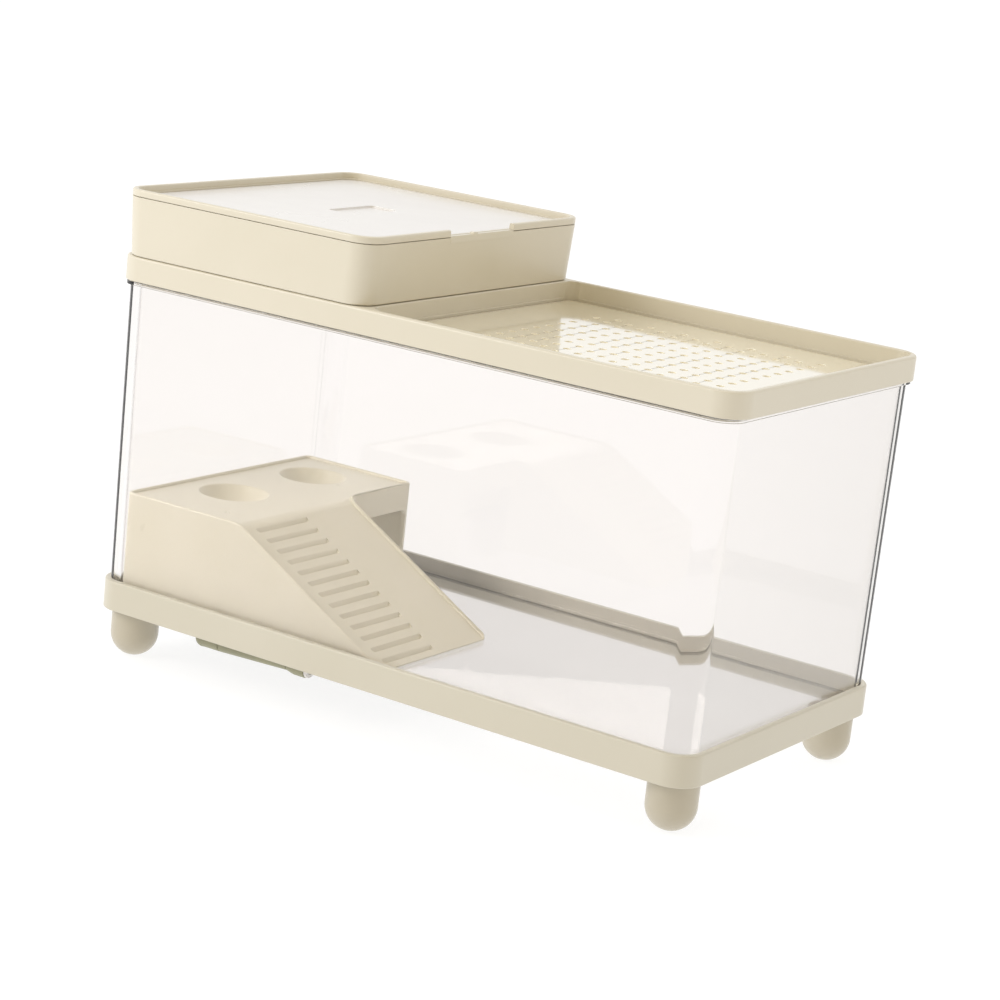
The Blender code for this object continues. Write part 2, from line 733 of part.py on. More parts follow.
def make_filter_box():
    box = slab("filter_box", (box_left, -box_y, z_box), (box_right, box_y, z_box_top), box_corner,
               (box_flare_x, box_flare_y), material=material_cream)
    plug_left = -bay_x + plug_gap
    plug_right = divider_x - divider_wall - plug_gap
    plug_y = bay_y - plug_gap
    plug_corner = lid_inner_corner
    plug = slab("box_plug", (plug_left, -plug_y, z_plug), (plug_right, plug_y, z_box + box_floor),
                plug_corner)
    plug_hollow = slab("box_plug_hollow", (plug_left + box_wall, -plug_y + box_wall, z_box_floor),
                       (plug_right - box_wall, plug_y - box_wall, z_box + box_height / 2),
                       plug_corner - box_wall)
    high = z_box_top + cut_overrun
    reach = (box_height - box_floor + cut_overrun) / box_height
    hollow_flare = (box_flare_x * reach, box_flare_y * reach)
    hollow = slab("box_hollow", (box_left + box_wall, -box_y + box_wall, z_box + box_floor),
                  (box_right - box_wall, box_y - box_wall, high), box_corner - box_wall, hollow_flare)
    inner_right = box_top_right - box_wall
    tongue = slab("box_tongue", (inner_right, -notch_width / 2 + seat_gap, z_box_top - cut_overrun),
                  (box_top_right, notch_width / 2 - seat_gap, z_box_top + tongue_height))
    nub = slab("box_nub", (inner_right, nub_offset - nub_width / 2, z_box_top - cut_overrun),
               (box_top_right, nub_offset + nub_width / 2, z_box_top + tongue_height + nub_height))
    middle_x = (plug_left + plug_right) / 2
    places = [(middle_x + (i - (outlet_count - 1) / 2) * outlet_pitch, 0, z_plug + box_floor / 2)
              for i in range(outlet_count)]
    outlets = copies("box_outlets", (outlet_width, outlet_length, box_floor + 2 * cut_overrun), places,
                     outlet_width * slot_round_share)
    join(box, plug)
    cut(box, plug_hollow, hollow)
    join(box, tongue, nub)
    cut(box, outlets)
    return box


def make_filter_insert():
    """A slotted drip tray on short side legs, and the sponge block that lies on it."""
    left = -bay_x + plug_gap + box_wall + insert_gap
    right = divider_x - divider_wall - plug_gap - box_wall - insert_gap
    half_y = bay_y - plug_gap - box_wall - insert_gap
    corner = lid_inner_corner - box_wall
    tray = slab("drip_tray", (left, -half_y, z_tray), (right, half_y, z_tray_top), corner,
                material=material_cream)
    hollow = slab("tray_hollow", (left + tray_thickness, -half_y + tray_thickness, z_tray - cut_overrun),
                  (right - tray_thickness, half_y - tray_thickness, z_tray + tray_leg),
                  corner - tray_thickness)
    middle = (left + right) / 2
    places = [(middle + (i - (tray_slots - 1) / 2) * tray_slot_pitch, 0, z_tray_top - tray_thickness / 2)
              for i in range(tray_slots)]
    slot_size = (tray_slot_width, 2 * (half_y - tray_slot_margin), tray_thickness + 2 * cut_overrun)
    slots = copies("tray_slots", slot_size, places, tray_slot_width * slot_round_share)
    cut(tray, hollow, slots)
    sponge = slab("filter_sponge", (left, -half_y, z_sponge), (right, half_y, z_sponge + sponge_height),
                  corner, material=material_sponge)
    return tray, sponge


def make_box_lid():
    """The rim stands on the filter box, its skirt drops inside, and its ledge carries the white panel."""
    rim = slab("box_lid_rim", (box_top_left, -box_top_y, z_rim), (box_top_right, box_top_y, z_rim_top),
               box_corner, edge=rim_edge, material=material_cream)
    skirt_set = box_wall + slip_gap
    skirt_low = z_rim - rim_skirt_depth
    skirt = slab("rim_skirt", (box_top_left + skirt_set, -box_top_y + skirt_set, skirt_low),
                 (box_top_right - skirt_set, box_top_y - skirt_set, z_rim + rim_skirt_rise),
                 box_corner - skirt_set)
    well = slab("rim_well", (box_top_left + rim_wall, -box_top_y + rim_wall, z_rim + rim_skirt_rise),
                (box_top_right - rim_wall, box_top_y - rim_wall, z_rim_top + cut_overrun),
                box_corner - rim_wall)
    panel_set = skirt_set + rim_skirt_wall
    seat = slab("rim_panel_seat", (box_top_left + panel_set, -box_top_y + panel_set, z_panel - seat_gap),
                (box_top_right - panel_set, box_top_y - panel_set, z_rim_top + cut_overrun),
                panel_corner + slip_gap)
    window_set = panel_set + rim_ledge_width
    window = slab("rim_window", (box_top_left + window_set, -box_top_y + window_set, skirt_low - cut_overrun),
                  (box_top_right - window_set, box_top_y - window_set, z_rim_top), box_corner - panel_set)
    notch = slab("rim_notch", (box_top_right - skirt_set, -notch_width / 2, z_rim - cut_overrun),
                 (box_top_right + cut_overrun, notch_width / 2, z_rim_top + cut_overrun))
    notch_step = slab("rim_notch_step", (box_top_right - rim_wall - cut_overrun, -notch_width / 2,
                                         z_rim + rim_skirt_rise),
                      (box_top_right + cut_overrun, notch_width / 2, z_rim_top + cut_overrun))
    join(rim, skirt)
    cut(rim, well, seat, window, notch, notch_step)

    edge_set = panel_set + slip_gap
    panel = slab("box_lid_panel", (box_top_left + edge_set, -box_top_y + edge_set, z_panel),
                 (box_top_right - edge_set, box_top_y - edge_set, z_panel_top), panel_corner,
                 material=material_white)
    middle = (box_top_left + box_top_right) / 2 + pocket_shift
    pocket = slab("finger_pocket",
                  (middle - pocket_width / 2, -pocket_length / 2, z_panel_top - pocket_depth),
                  (middle + pocket_width / 2, pocket_length / 2, z_panel_top + cut_overrun), pocket_corner,
                  steps=3)
    cut(panel, pocket)
    return rim, panel


clear_scene()
parts = new_collection("turtle_tank")
cutters = new_collection("cutters")
rest = {}
material_cream = new_material("cream plastic", cream, 0.38)
material_platform = new_material("cream platform plastic", cream_light, 0.45)
material_clear = new_material("clear acrylic", clear, 0.05, 0.2)
material_white = new_material("white plastic", white, 0.35)
material_fitting = new_material("grey-green fitting plastic", grey_green, 0.4)
material_rubber = new_material("rubber", dark_rubber, 0.7)
material_sponge = new_material("filter sponge", sponge_white, 0.95)

make_base_frame()
make_feet()
make_tank()
make_drain_fitting()
make_drain_spout()
make_platform()

lid = make_lid_frame()
vent = make_vent_panel()
box = make_filter_box()
tray, sponge = make_filter_insert()
box_rim, box_panel = make_box_lid()

lid_lift = joint_empty("lid_lift", (0, 0, z_lid))
vent_lift = joint_empty("vent_lift", ((divider_x + bay_x) / 2, 0, z_vent), lid_lift)
box_lift = joint_empty("box_lift", ((box_left + box_right) / 2, 0, z_box), lid_lift)
rim_lift = joint_empty("box_lid_lift", ((box_left + box_right) / 2, 0, z_rim), box_lift)
panel_lift = joint_empty("panel_lift", ((box_left + box_right) / 2, 0, z_panel), rim_lift)
carry(lid_lift, lid)
carry(vent_lift, vent)
carry(box_lift, box, tray, sponge)
carry(rim_lift, box_rim)
carry(panel_lift, box_panel)
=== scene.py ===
import bpy
import math
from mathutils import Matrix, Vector


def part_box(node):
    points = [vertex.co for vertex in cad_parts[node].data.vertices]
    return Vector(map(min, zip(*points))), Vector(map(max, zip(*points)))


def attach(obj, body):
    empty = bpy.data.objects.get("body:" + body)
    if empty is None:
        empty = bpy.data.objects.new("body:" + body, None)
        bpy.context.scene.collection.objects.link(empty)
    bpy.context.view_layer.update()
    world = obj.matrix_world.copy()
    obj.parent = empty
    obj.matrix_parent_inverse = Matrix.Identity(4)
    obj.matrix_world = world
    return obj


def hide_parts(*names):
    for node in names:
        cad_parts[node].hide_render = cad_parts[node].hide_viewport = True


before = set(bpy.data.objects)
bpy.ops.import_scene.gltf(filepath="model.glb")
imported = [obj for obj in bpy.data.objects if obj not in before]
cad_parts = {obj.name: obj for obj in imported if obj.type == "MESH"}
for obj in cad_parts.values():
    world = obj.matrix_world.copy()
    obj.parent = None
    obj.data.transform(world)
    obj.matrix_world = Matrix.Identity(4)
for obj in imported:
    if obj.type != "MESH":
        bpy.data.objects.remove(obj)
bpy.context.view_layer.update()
print("turtle tank: frame loaded")


def mm(value):
    return value / 1000


# small helpers
def deselectAll():
    if bpy.context.object and bpy.context.object.mode != "OBJECT":
        bpy.ops.object.mode_set(mode="OBJECT")
    bpy.ops.object.select_all(action="DESELECT")


def pickPiece(piece):
    deselectAll()
    piece.select_set(True)
    bpy.context.view_layer.objects.active = piece


def settle(piece, name=None):
    # the place goes into the mesh, so the object stands at the origin
    pickPiece(piece)
    bpy.ops.object.transform_apply(location=True, rotation=True, scale=True)
    if name:
        piece.name = name
        piece.data.name = name
    return piece


def clearPick(piece, mode):
    pickPiece(piece)
    bpy.ops.object.mode_set(mode="EDIT")
    bpy.ops.mesh.select_mode(type=mode)
    bpy.ops.mesh.select_all(action="DESELECT")
    bpy.ops.object.mode_set(mode="OBJECT")


def pickEdges(piece, test):
    clearPick(piece, "EDGE")
    verts = piece.data.vertices
    for edge in piece.data.edges:
        edge.select = test(verts[edge.vertices[0]].co, verts[edge.vertices[1]].co)
    bpy.ops.object.mode_set(mode="EDIT")


def pickFaces(piece, test):
    clearPick(piece, "FACE")
    for face in piece.data.polygons:
        face.select = test(face.center, face.normal)
    bpy.ops.object.mode_set(mode="EDIT")


def leaveEdit():
    bpy.ops.object.mode_set(mode="OBJECT")


def roundEdges(piece, test, width, steps, shape=0.5):
    pickEdges(piece, test)
    bpy.ops.mesh.bevel(offset=width, segments=steps, profile=shape, affect="EDGES", clamp_overlap=False)
    leaveEdit()


def atHeight(z):
    return lambda a, b: abs(a.z - z) < mm(0.02) and abs(b.z - z) < mm(0.02)


def outlineGap(point, low, high, corner):
    # distance of a point from a rounded rectangle's outline, seen from above
    x = abs(point.x - (low[0] + high[0]) / 2) - (high[0] - low[0]) / 2 + corner
    y = abs(point.y - (low[1] + high[1]) / 2) - (high[1] - low[1]) / 2 + corner
    return abs(math.hypot(max(x, 0), max(y, 0)) + min(max(x, y), 0) - corner)


def onRim(z, low, high, corner, slack=mm(0.06)):
    return lambda a, b: all(abs(p.z - z) < mm(0.02) and outlineGap(p, low, high, corner) < slack
                            for p in (a, b))


def addBlock(name, low, high):
    deselectAll()
    middle = [(a + b) / 2 for a, b in zip(low, high)]
    size = [b - a for a, b in zip(low, high)]
    bpy.ops.mesh.primitive_cube_add(size=1, location=middle, scale=size)
    return settle(bpy.context.object, name)


def roundBlock(name, low, high, corner, steps=12, flare=(0, 0)):
    # a block with round upright corners; the flare spreads its top
    block = addBlock(name, low, high)
    if flare[0] or flare[1]:
        pickFaces(block, lambda c, n: n.z > 0.9)
        spread = [1 + 2 * flare[i] / (high[i] - low[i]) for i in range(2)]
        bpy.ops.transform.resize(value=(*spread, 1), center_override=((low[0] + high[0]) / 2,
                                                                     (low[1] + high[1]) / 2, high[2]))
        leaveEdit()
    if corner > 0:
        tall = (high[2] - low[2]) * 0.6
        roundEdges(block, lambda a, b: abs(a.z - b.z) > tall, corner, steps)
    return block


def combine(piece, others, operation):
    for other in others:
        step = piece.modifiers.new("combine", "BOOLEAN")
        step.operation = operation
        step.solver = "EXACT"
        step.object = other
        pickPiece(piece)
        bpy.ops.object.modifier_apply(modifier=step.name)
        bpy.data.objects.remove(other, do_unlink=True)
    return piece


def cut(piece, *others):
    return combine(piece, others, "DIFFERENCE")


def join(piece, *others):
    return combine(piece, others, "UNION")


def addRod(name, start, axis, radius, length, sides=48):
    deselectAll()
    turn = {"x": (0, math.pi / 2, 0), "z": (0, 0, 0)}[axis]
    middle = Vector(start) + Vector((length / 2, 0, 0) if axis == "x" else (0, 0, length / 2))
    bpy.ops.mesh.primitive_cylinder_add(vertices=sides, radius=radius, depth=abs(length), location=middle,
                                        rotation=turn)
    return settle(bpy.context.object, name)


def lathe(name, points, place, axis="z", sides=64):
    # one point is pulled along the profile of (radius, along) and spun round the axis
    def spot(radius, along):
        return Vector((radius, 0, along)) if axis == "z" else Vector((along, 0, radius))
    deselectAll()
    bpy.ops.mesh.primitive_plane_add(size=mm(0.1), location=Vector(place) + spot(*points[0]))
    piece = settle(bpy.context.object, name)
    bpy.ops.object.mode_set(mode="EDIT")
    bpy.ops.mesh.select_mode(type="VERT")
    bpy.ops.mesh.select_all(action="SELECT")
    bpy.ops.mesh.merge(type="CENTER")
    for last, point in zip(points, points[1:]):
        bpy.ops.mesh.extrude_region_move(TRANSFORM_OT_translate={"value": spot(*point) - spot(*last)})
    bpy.ops.mesh.select_all(action="SELECT")
    bpy.ops.mesh.spin(steps=sides, angle=2 * math.pi, center=place,
                      axis=(0, 0, 1) if axis == "z" else (1, 0, 0))
    bpy.ops.mesh.select_all(action="SELECT")
    bpy.ops.mesh.remove_doubles(threshold=mm(0.005))
    bpy.ops.mesh.normals_make_consistent(inside=False)
    leaveEdit()
    return piece


def roundedProfile(corners, steps=4):
    # corners are (radius, along, rounding); each rounding becomes a short arc
    points = []
    for i, (radius, along, size) in enumerate(corners):
        here = Vector((radius, along))
        if size <= 0 or i in (0, len(corners) - 1):
            points.append((radius, along))
            continue
        before = (Vector(corners[i - 1][:2]) - here).normalized() * size
        after = (Vector(corners[i + 1][:2]) - here).normalized() * size
        for k in range(steps + 1):
            t = k / steps
            spot = here + before * (1 - t) ** 2 + after * t ** 2
            points.append((spot.x, spot.y))
    return points


def copyAt(piece, place, name):
    # each copy has its own mesh
    pickPiece(piece)
    bpy.ops.object.duplicate(linked=False)
    twin = bpy.context.object
    twin.location = place
    return settle(twin, name)


def joinMeshes(pieces, name):
    deselectAll()
    for piece in pieces:
        piece.select_set(True)
    bpy.context.view_layer.objects.active = pieces[0]
    bpy.ops.object.join()
    whole = bpy.context.object
    whole.name = name
    return whole


def finishPiece(piece, material, body, nodes, angle=38):
    pickPiece(piece)
    bpy.ops.object.shade_smooth_by_angle(angle=math.radians(angle))
    even = piece.modifiers.new("even shading", "WEIGHTED_NORMAL")
    even.keep_sharp = True
    bpy.ops.object.modifier_apply(modifier=even.name)
    piece.data.materials.clear()
    piece.data.materials.append(material)
    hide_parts(*nodes)
    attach(piece, body)
    return piece


# materials
def linear(hexColour):
    parts = [int(hexColour[i:i + 2], 16) / 255 for i in (1, 3, 5)]
    return (*[c / 12.92 if c <= 0.04045 else ((c + 0.055) / 1.055) ** 2.4 for c in parts], 1)


def addNode(tree, kind, settings, links=()):
    node = tree.nodes.new(kind)
    for key, value in settings.items():
        if isinstance(key, int) or key in node.inputs:
            node.inputs[key].default_value = value
        else:
            setattr(node, key, value)
    for source, target in links:
        tree.links.new(source, node.inputs[target])
    return node


def startMaterial(name, settings):
    material = bpy.data.materials.new(name)
    material.use_nodes = True
    tree = material.node_tree
    tree.nodes.clear()
    shader = addNode(tree, "ShaderNodeBsdfPrincipled", settings)
    addNode(tree, "ShaderNodeOutputMaterial", {}, [(shader.outputs[0], "Surface")])
    place = addNode(tree, "ShaderNodeTexCoord", {}).outputs["Object"]
    return material, tree, shader, place


def mouldedPlastic(name, spec):
    # slow cloudy tone from the melt, a fine spark-eroded grain, and gloss that varies a little
    material, tree, shader, place = startMaterial(name, spec["shader"])
    clouds = addNode(tree, "ShaderNodeTexNoise", {"Scale": 1 / spec["cloudSize"], "Detail": 3.0},
                     [(place, "Vector")])
    tone = addNode(tree, "ShaderNodeValToRGB", {}, [(clouds.outputs["Fac"], "Fac")])
    tone.color_ramp.elements[0].position = 0.32
    tone.color_ramp.elements[0].color = linear(spec["deepTone"])
    tone.color_ramp.elements[1].position = 0.68
    tone.color_ramp.elements[1].color = linear(spec["tone"])
    tree.links.new(tone.outputs["Color"], shader.inputs["Base Color"])
    grain = addNode(tree, "ShaderNodeTexNoise", {"Scale": 1 / spec["grainSize"], "Detail": 2.0},
                    [(place, "Vector")])
    gloss = addNode(tree, "ShaderNodeMapRange",
                    {"From Min": 0.3, "From Max": 0.7, "To Min": spec["roughLow"], "To Max": spec["roughHigh"]},
                    [(clouds.outputs["Fac"], "Value")])
    tree.links.new(gloss.outputs["Result"], shader.inputs["Roughness"])
    relief = addNode(tree, "ShaderNodeBump", {"Strength": spec["grainStrength"], "Distance": spec["grainDepth"]},
                     [(grain.outputs["Fac"], "Height")])
    tree.links.new(relief.outputs["Normal"], shader.inputs["Normal"])
    return material


# Ivory ABS, injection moulded in a satin tool: warm off-white with soft highlights along its edges.
# Its grain is 0.4 mm and is drawn at 1.2 mm so that it shows.
ivoryAbs = mouldedPlastic("ivory ABS, satin moulded", {
    "tone": "#DDD6C5", "deepTone": "#DAD3C1", "cloudSize": mm(60), "grainSize": mm(1.2),
    "grainStrength": 0.06, "grainDepth": mm(0.05), "roughLow": 0.30, "roughHigh": 0.36,
    "shader": {"IOR": 1.53}})

# The base frame's ivory ABS is given a deeper tone than the lid's: painted shade for the base, which stands low
# by the floor and gets less light.
baseAbsShaded = mouldedPlastic("ivory ABS, satin moulded, painted shade", {
    "tone": "#D3CDBD", "deepTone": "#D0CAB9", "cloudSize": mm(60), "grainSize": mm(1.2),
    "grainStrength": 0.05, "grainDepth": mm(0.05), "roughLow": 0.28, "roughHigh": 0.34,
    "shader": {"IOR": 1.53}})

# The same ivory ABS with a glossier skin: the feet, which catch one soft highlight each. Their tone is much
# deeper than the lid's: painted shade for the feet, low under the frame.
footAbsShaded = mouldedPlastic("ivory ABS, gloss moulded, painted shade", {
    "tone": "#C4BCAA", "deepTone": "#C1B9A6", "cloudSize": mm(30), "grainSize": mm(1.2),
    "grainStrength": 0.04, "grainDepth": mm(0.04), "roughLow": 0.22, "roughHigh": 0.27,
    "shader": {"IOR": 1.53}})

# Ivory ABS from a polished tool: the flat vent panel, which mirrors the box beside it. Its tone is lighter than
# the lid's ivory: painted light for the panel, which lies in the box's shade at the foot of its pocket.
glossyAbsLit = mouldedPlastic("ivory ABS, polished moulded, painted light", {
    "tone": "#F6EED6", "deepTone": "#F4EBD2", "cloudSize": mm(60), "grainSize": mm(1.6),
    "grainStrength": 0.02, "grainDepth": mm(0.03), "roughLow": 0.08, "roughHigh": 0.11,
    "shader": {"IOR": 1.6, "Coat Weight": 1.0, "Coat IOR": 1.7, "Coat Roughness": 0.06}})

# Ivory polypropylene, moulded with a finer, slightly duller skin and a warmer tone.
ivoryPp = mouldedPlastic("ivory polypropylene, moulded", {
    "tone": "#E3DCCA", "deepTone": "#DFD8C4", "cloudSize": mm(45), "grainSize": mm(1.0),
    "grainStrength": 0.05, "grainDepth": mm(0.05), "roughLow": 0.27, "roughHigh": 0.33,
    "shader": {"IOR": 1.49}})

# White ABS with a polished top: cooler than the ivory and a little glossier.
whiteAbs = mouldedPlastic("white ABS, polished moulded", {
    "tone": "#EBE9E7", "deepTone": "#E8E5E3", "cloudSize": mm(70), "grainSize": mm(1.6),
    "grainStrength": 0.04, "grainDepth": mm(0.03), "roughLow": 0.22, "roughHigh": 0.28,
    "shader": {"IOR": 1.53}})

# Olive-grey PVC, moulded plumbing fittings: dull with a faint sheen.
olivePvc = mouldedPlastic("olive PVC, moulded", {
    "tone": "#A3A184", "deepTone": "#96947A", "cloudSize": mm(14), "grainSize": mm(0.8),
    "grainStrength": 0.1, "grainDepth": mm(0.04), "roughLow": 0.34, "roughHigh": 0.44,
    "shader": {"IOR": 1.53}})

# Black nitrile rubber seal: matte with a fine flash.
nitrile = mouldedPlastic("nitrile rubber, moulded", {
    "tone": "#2B2B2A", "deepTone": "#232322", "cloudSize": mm(6), "grainSize": mm(0.6),
    "grainStrength": 0.2, "grainDepth": mm(0.04), "roughLow": 0.6, "roughHigh": 0.75,
    "shader": {"IOR": 1.52}})


def clearAcrylic(name, spec):
    # clear moulded acrylic: sharp reflections, walls greyed as painted shade where they turn away from view,
    # faint flow marks
    material, tree, shader, place = startMaterial(name, spec["shader"])
    flow = addNode(tree, "ShaderNodeTexNoise", {"Scale": 1 / spec["flowSize"], "Detail": 1.0},
                   [(place, "Vector")])
    relief = addNode(tree, "ShaderNodeBump", {"Strength": spec["flowStrength"], "Distance": spec["flowDepth"]},
                     [(flow.outputs["Fac"], "Height")])
    tree.links.new(relief.outputs["Normal"], shader.inputs["Normal"])
    # painted shade: the walls' colour darkens as they turn away from view, standing in for the dark bands that
    # bent light makes along the tank's edges and corners
    facing = addNode(tree, "ShaderNodeLayerWeight", {"Blend": 0.5})
    rim = addNode(tree, "ShaderNodeValToRGB", {}, [(facing.outputs["Facing"], "Fac")])
    for turn, tone in spec["turnShadeTones"][1:-1]:
        rim.color_ramp.elements.new(turn)
    for element, (turn, tone) in zip(rim.color_ramp.elements, spec["turnShadeTones"]):
        element.position, element.color = turn, linear(tone)
    tree.links.new(rim.outputs["Color"], shader.inputs["Base Color"])
    body = addNode(tree, "ShaderNodeVolumeAbsorption", {"Color": linear(spec["edgeTone"]),
                                                        "Density": spec["edgeDensity"]})
    tree.links.new(body.outputs["Volume"], tree.nodes["Material Output"].inputs["Volume"])
    return material


acrylic = clearAcrylic("clear acrylic, moulded", {
    "flowSize": mm(90), "flowStrength": 0.05, "flowDepth": mm(0.2), "edgeTone": "#DAD8D6", "edgeDensity": 5.0,
    "turnShadeTones": [(0, "#FBF9F8"), (0.5, "#FAF8F6"), (0.65, "#D4D1CE"), (1, "#8A8683")],
    "shader": {"Specular IOR Level": 0.3, "Roughness": 0.0, "IOR": 1.49, "Transmission Weight": 1.0}})


def openFoam(name, spec):
    # open-cell polyurethane foam: matte, with 0.8 mm cells
    material, tree, shader, place = startMaterial(name, spec["shader"])
    cells = addNode(tree, "ShaderNodeTexVoronoi", {"Scale": 1 / spec["cellSize"]}, [(place, "Vector")])
    # painted shade: the cells' pits are darker than the foam, standing in for the shade inside the pores
    tone = addNode(tree, "ShaderNodeValToRGB", {}, [(cells.outputs["Distance"], "Fac")])
    tone.color_ramp.elements[0].position = 0.1
    tone.color_ramp.elements[0].color = linear(spec["poreShadeTone"])
    tone.color_ramp.elements[1].position = 0.5
    tone.color_ramp.elements[1].color = linear(spec["tone"])
    tree.links.new(tone.outputs["Color"], shader.inputs["Base Color"])
    relief = addNode(tree, "ShaderNodeBump", {"Strength": spec["cellStrength"], "Distance": spec["cellDepth"]},
                     [(cells.outputs["Distance"], "Height")])
    tree.links.new(relief.outputs["Normal"], shader.inputs["Normal"])
    return material


filterFoam = openFoam("white open-cell foam, cut", {
    "cellSize": mm(1.1), "cellDepth": mm(0.5), "cellStrength": 0.6, "tone": "#E4E6E6", "poreShadeTone": "#AEB2B3",
    "shader": {"Roughness": 0.95, "IOR": 1.45}})

# base frame
print("turtle tank: base frame")
baseSpec = {"corner": mm(16), "topRound": mm(1.1), "bottomRound": mm(0.7), "wall": mm(3.5),
            "pocketCorner": mm(12.4), "pocketFloor": mm(34.5), "rimRound": mm(0.5), "ledgeWidth": mm(7.2),
            "ledgeThickness": mm(2.5), "skirt": mm(2), "windowCorner": mm(5), "bossRadius": mm(7.5),
            "bossRise": mm(1.5), "socketRadius": mm(5.3), "socketDepth": mm(3.7)}


footNodes = ("foot_front_left", "foot_front_right", "foot_rear_left", "foot_rear_right")


def makeBase(spec):
    low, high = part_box("base_frame")
    over = mm(3)
    base = roundBlock("baseFrame", low, high, spec["corner"], 14)
    roundEdges(base, atHeight(high[2]), spec["topRound"], 4)
    roundEdges(base, atHeight(low[2]), spec["bottomRound"], 3)
    wall = spec["wall"]
    inLow = (low[0] + wall, low[1] + wall)
    inHigh = (high[0] - wall, high[1] - wall)
    ledge = spec["ledgeWidth"]
    pocket = roundBlock("pocket", (*inLow, spec["pocketFloor"]), (*inHigh, high[2] + over), spec["pocketCorner"])
    channel = roundBlock("channel", (*inLow, low[2] - over),
                         (*inHigh, spec["pocketFloor"] - spec["ledgeThickness"]), spec["pocketCorner"])
    window = roundBlock("window", (inLow[0] + ledge, inLow[1] + ledge, low[2] - over),
                        (inHigh[0] - ledge, inHigh[1] - ledge, high[2]), spec["windowCorner"], 8)
    inset = ledge - spec["skirt"]
    # the ledge's inner edge hangs down to the frame's foot
    cut(channel, roundBlock("skirt", (inLow[0] + inset, inLow[1] + inset, low[2] - 2 * over),
                            (inHigh[0] - inset, inHigh[1] - inset, high[2]),
                            spec["windowCorner"] + spec["skirt"], 8))
    cut(base, channel, pocket, window)
    roundEdges(base, onRim(high[2], inLow, inHigh, spec["pocketCorner"]), spec["rimRound"], 3)
    bossTop = (spec["pocketFloor"] + low[2]) / 2 + spec["bossRise"]
    places = footPlaces()
    join(base, *[addRod("boss", (x, y, low[2]), "z", spec["bossRadius"], bossTop - low[2]) for x, y in places])
    cut(base, *[addRod("socket", (x, y, low[2] - over), "z", spec["socketRadius"], over + spec["socketDepth"])
                for x, y in places])
    # the base wears the deeper ivory, painted shade for its low place by the floor
    return finishPiece(base, baseAbsShaded, "base", ["base_frame"])


def footPlaces():
    places = []
    for node in footNodes:
        low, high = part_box(node)
        places.append(((low[0] + high[0]) / 2, (low[1] + high[1]) / 2))
    return places


makeBase(baseSpec)

# feet
print("turtle tank: feet")
footSpec = {"radius": mm(13.8), "flat": mm(0.5), "top": mm(28.0), "shoulder": mm(0.8), "stud": mm(5.0),
            "studTop": mm(31.4), "studRound": mm(0.5), "steps": 14}


def makeFeet(spec):
    radius, flat = spec["radius"], spec["flat"]
    profile = [(0, spec["studTop"]), (spec["stud"] - spec["studRound"], spec["studTop"]),
               (spec["stud"], spec["studTop"] - spec["studRound"]), (spec["stud"], spec["top"])]
    profile += [(radius - spec["shoulder"], spec["top"])]
    for k in range(1, 4):
        angle = math.pi / 2 * k / 3
        profile.append((radius - spec["shoulder"] * (1 - math.sin(angle)),
                        spec["top"] - spec["shoulder"] * (1 - math.cos(angle))))
    tip = math.acos(1 - flat / radius)
    for k in range(spec["steps"] + 1):
        angle = math.pi / 2 - (math.pi / 2 - tip) * k / spec["steps"]
        profile.append((radius * math.sin(angle), radius - flat - radius * math.cos(angle)))
    profile.append((0, profile[-1][1]))
    first = lathe("footPattern", profile, (0, 0, 0))
    for (x, y), node in zip(footPlaces(), footNodes):
        foot = copyAt(first, (x, y, 0), node.replace("foot_", "footOf_"))
        # the feet wear the darker ivory, painted shade
        finishPiece(foot, footAbsShaded, "base", [node])
    bpy.data.objects.remove(first, do_unlink=True)


makeFeet(footSpec)

# clear tank
print("turtle tank: clear tank")
tankSpec = {"bottom": mm(34.8), "top": mm(219.8), "half": (mm(196.1), mm(100.6)), "flare": mm(1.0),
            "corner": mm(10.5), "insideCorner": mm(11.8), "wall": mm(3), "floor": mm(3),
            "bottomRound": mm(1.6), "insideRound": mm(2.2), "lipHeight": mm(1.8), "lipWidth": mm(2.2),
            "lipRound": mm(0.4), "drainHole": mm(5.3)}


def makeTank(spec):
    x, y = spec["half"]
    flare, wall = spec["flare"], spec["wall"]
    tank = roundBlock("clearTank", (-x, -y, spec["bottom"]), (x, y, spec["top"]), spec["corner"], 14,
                      (flare, flare))
    roundEdges(tank, atHeight(spec["bottom"]), spec["bottomRound"], 4)
    lipX, lipY = x + flare + spec["lipWidth"], y + flare + spec["lipWidth"]
    lip = roundBlock("lip", (-lipX, -lipY, spec["top"] - spec["lipHeight"]), (lipX, lipY, spec["top"]),
                     spec["corner"] + spec["lipWidth"], 14)
    roundEdges(lip, atHeight(spec["top"]), spec["lipRound"], 2)
    join(tank, lip)
    height = spec["top"] - spec["bottom"]
    start = flare * spec["floor"] / height
    over = mm(3)
    rise = height - spec["floor"] + over
    hollow = roundBlock("hollow", (-x + wall - start, -y + wall - start, spec["bottom"] + spec["floor"]),
                        (x - wall + start, y - wall + start, spec["top"] + over), spec["insideCorner"], 12,
                        (flare * rise / height, flare * rise / height))
    roundEdges(hollow, atHeight(spec["bottom"] + spec["floor"]), spec["insideRound"], 5)
    drainLow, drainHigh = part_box("drain_outlet")
    place = ((drainLow[0] + drainHigh[0]) / 2, (drainLow[1] + drainHigh[1]) / 2, spec["bottom"] - over)
    cut(tank, hollow, addRod("drainHole", place, "z", spec["drainHole"], spec["floor"] + 2 * over))
    tank.visible_shadow = False  # the clear walls let the studio light through
    return finishPiece(tank, acrylic, "base", ["tank_shell"])


makeTank(tankSpec)

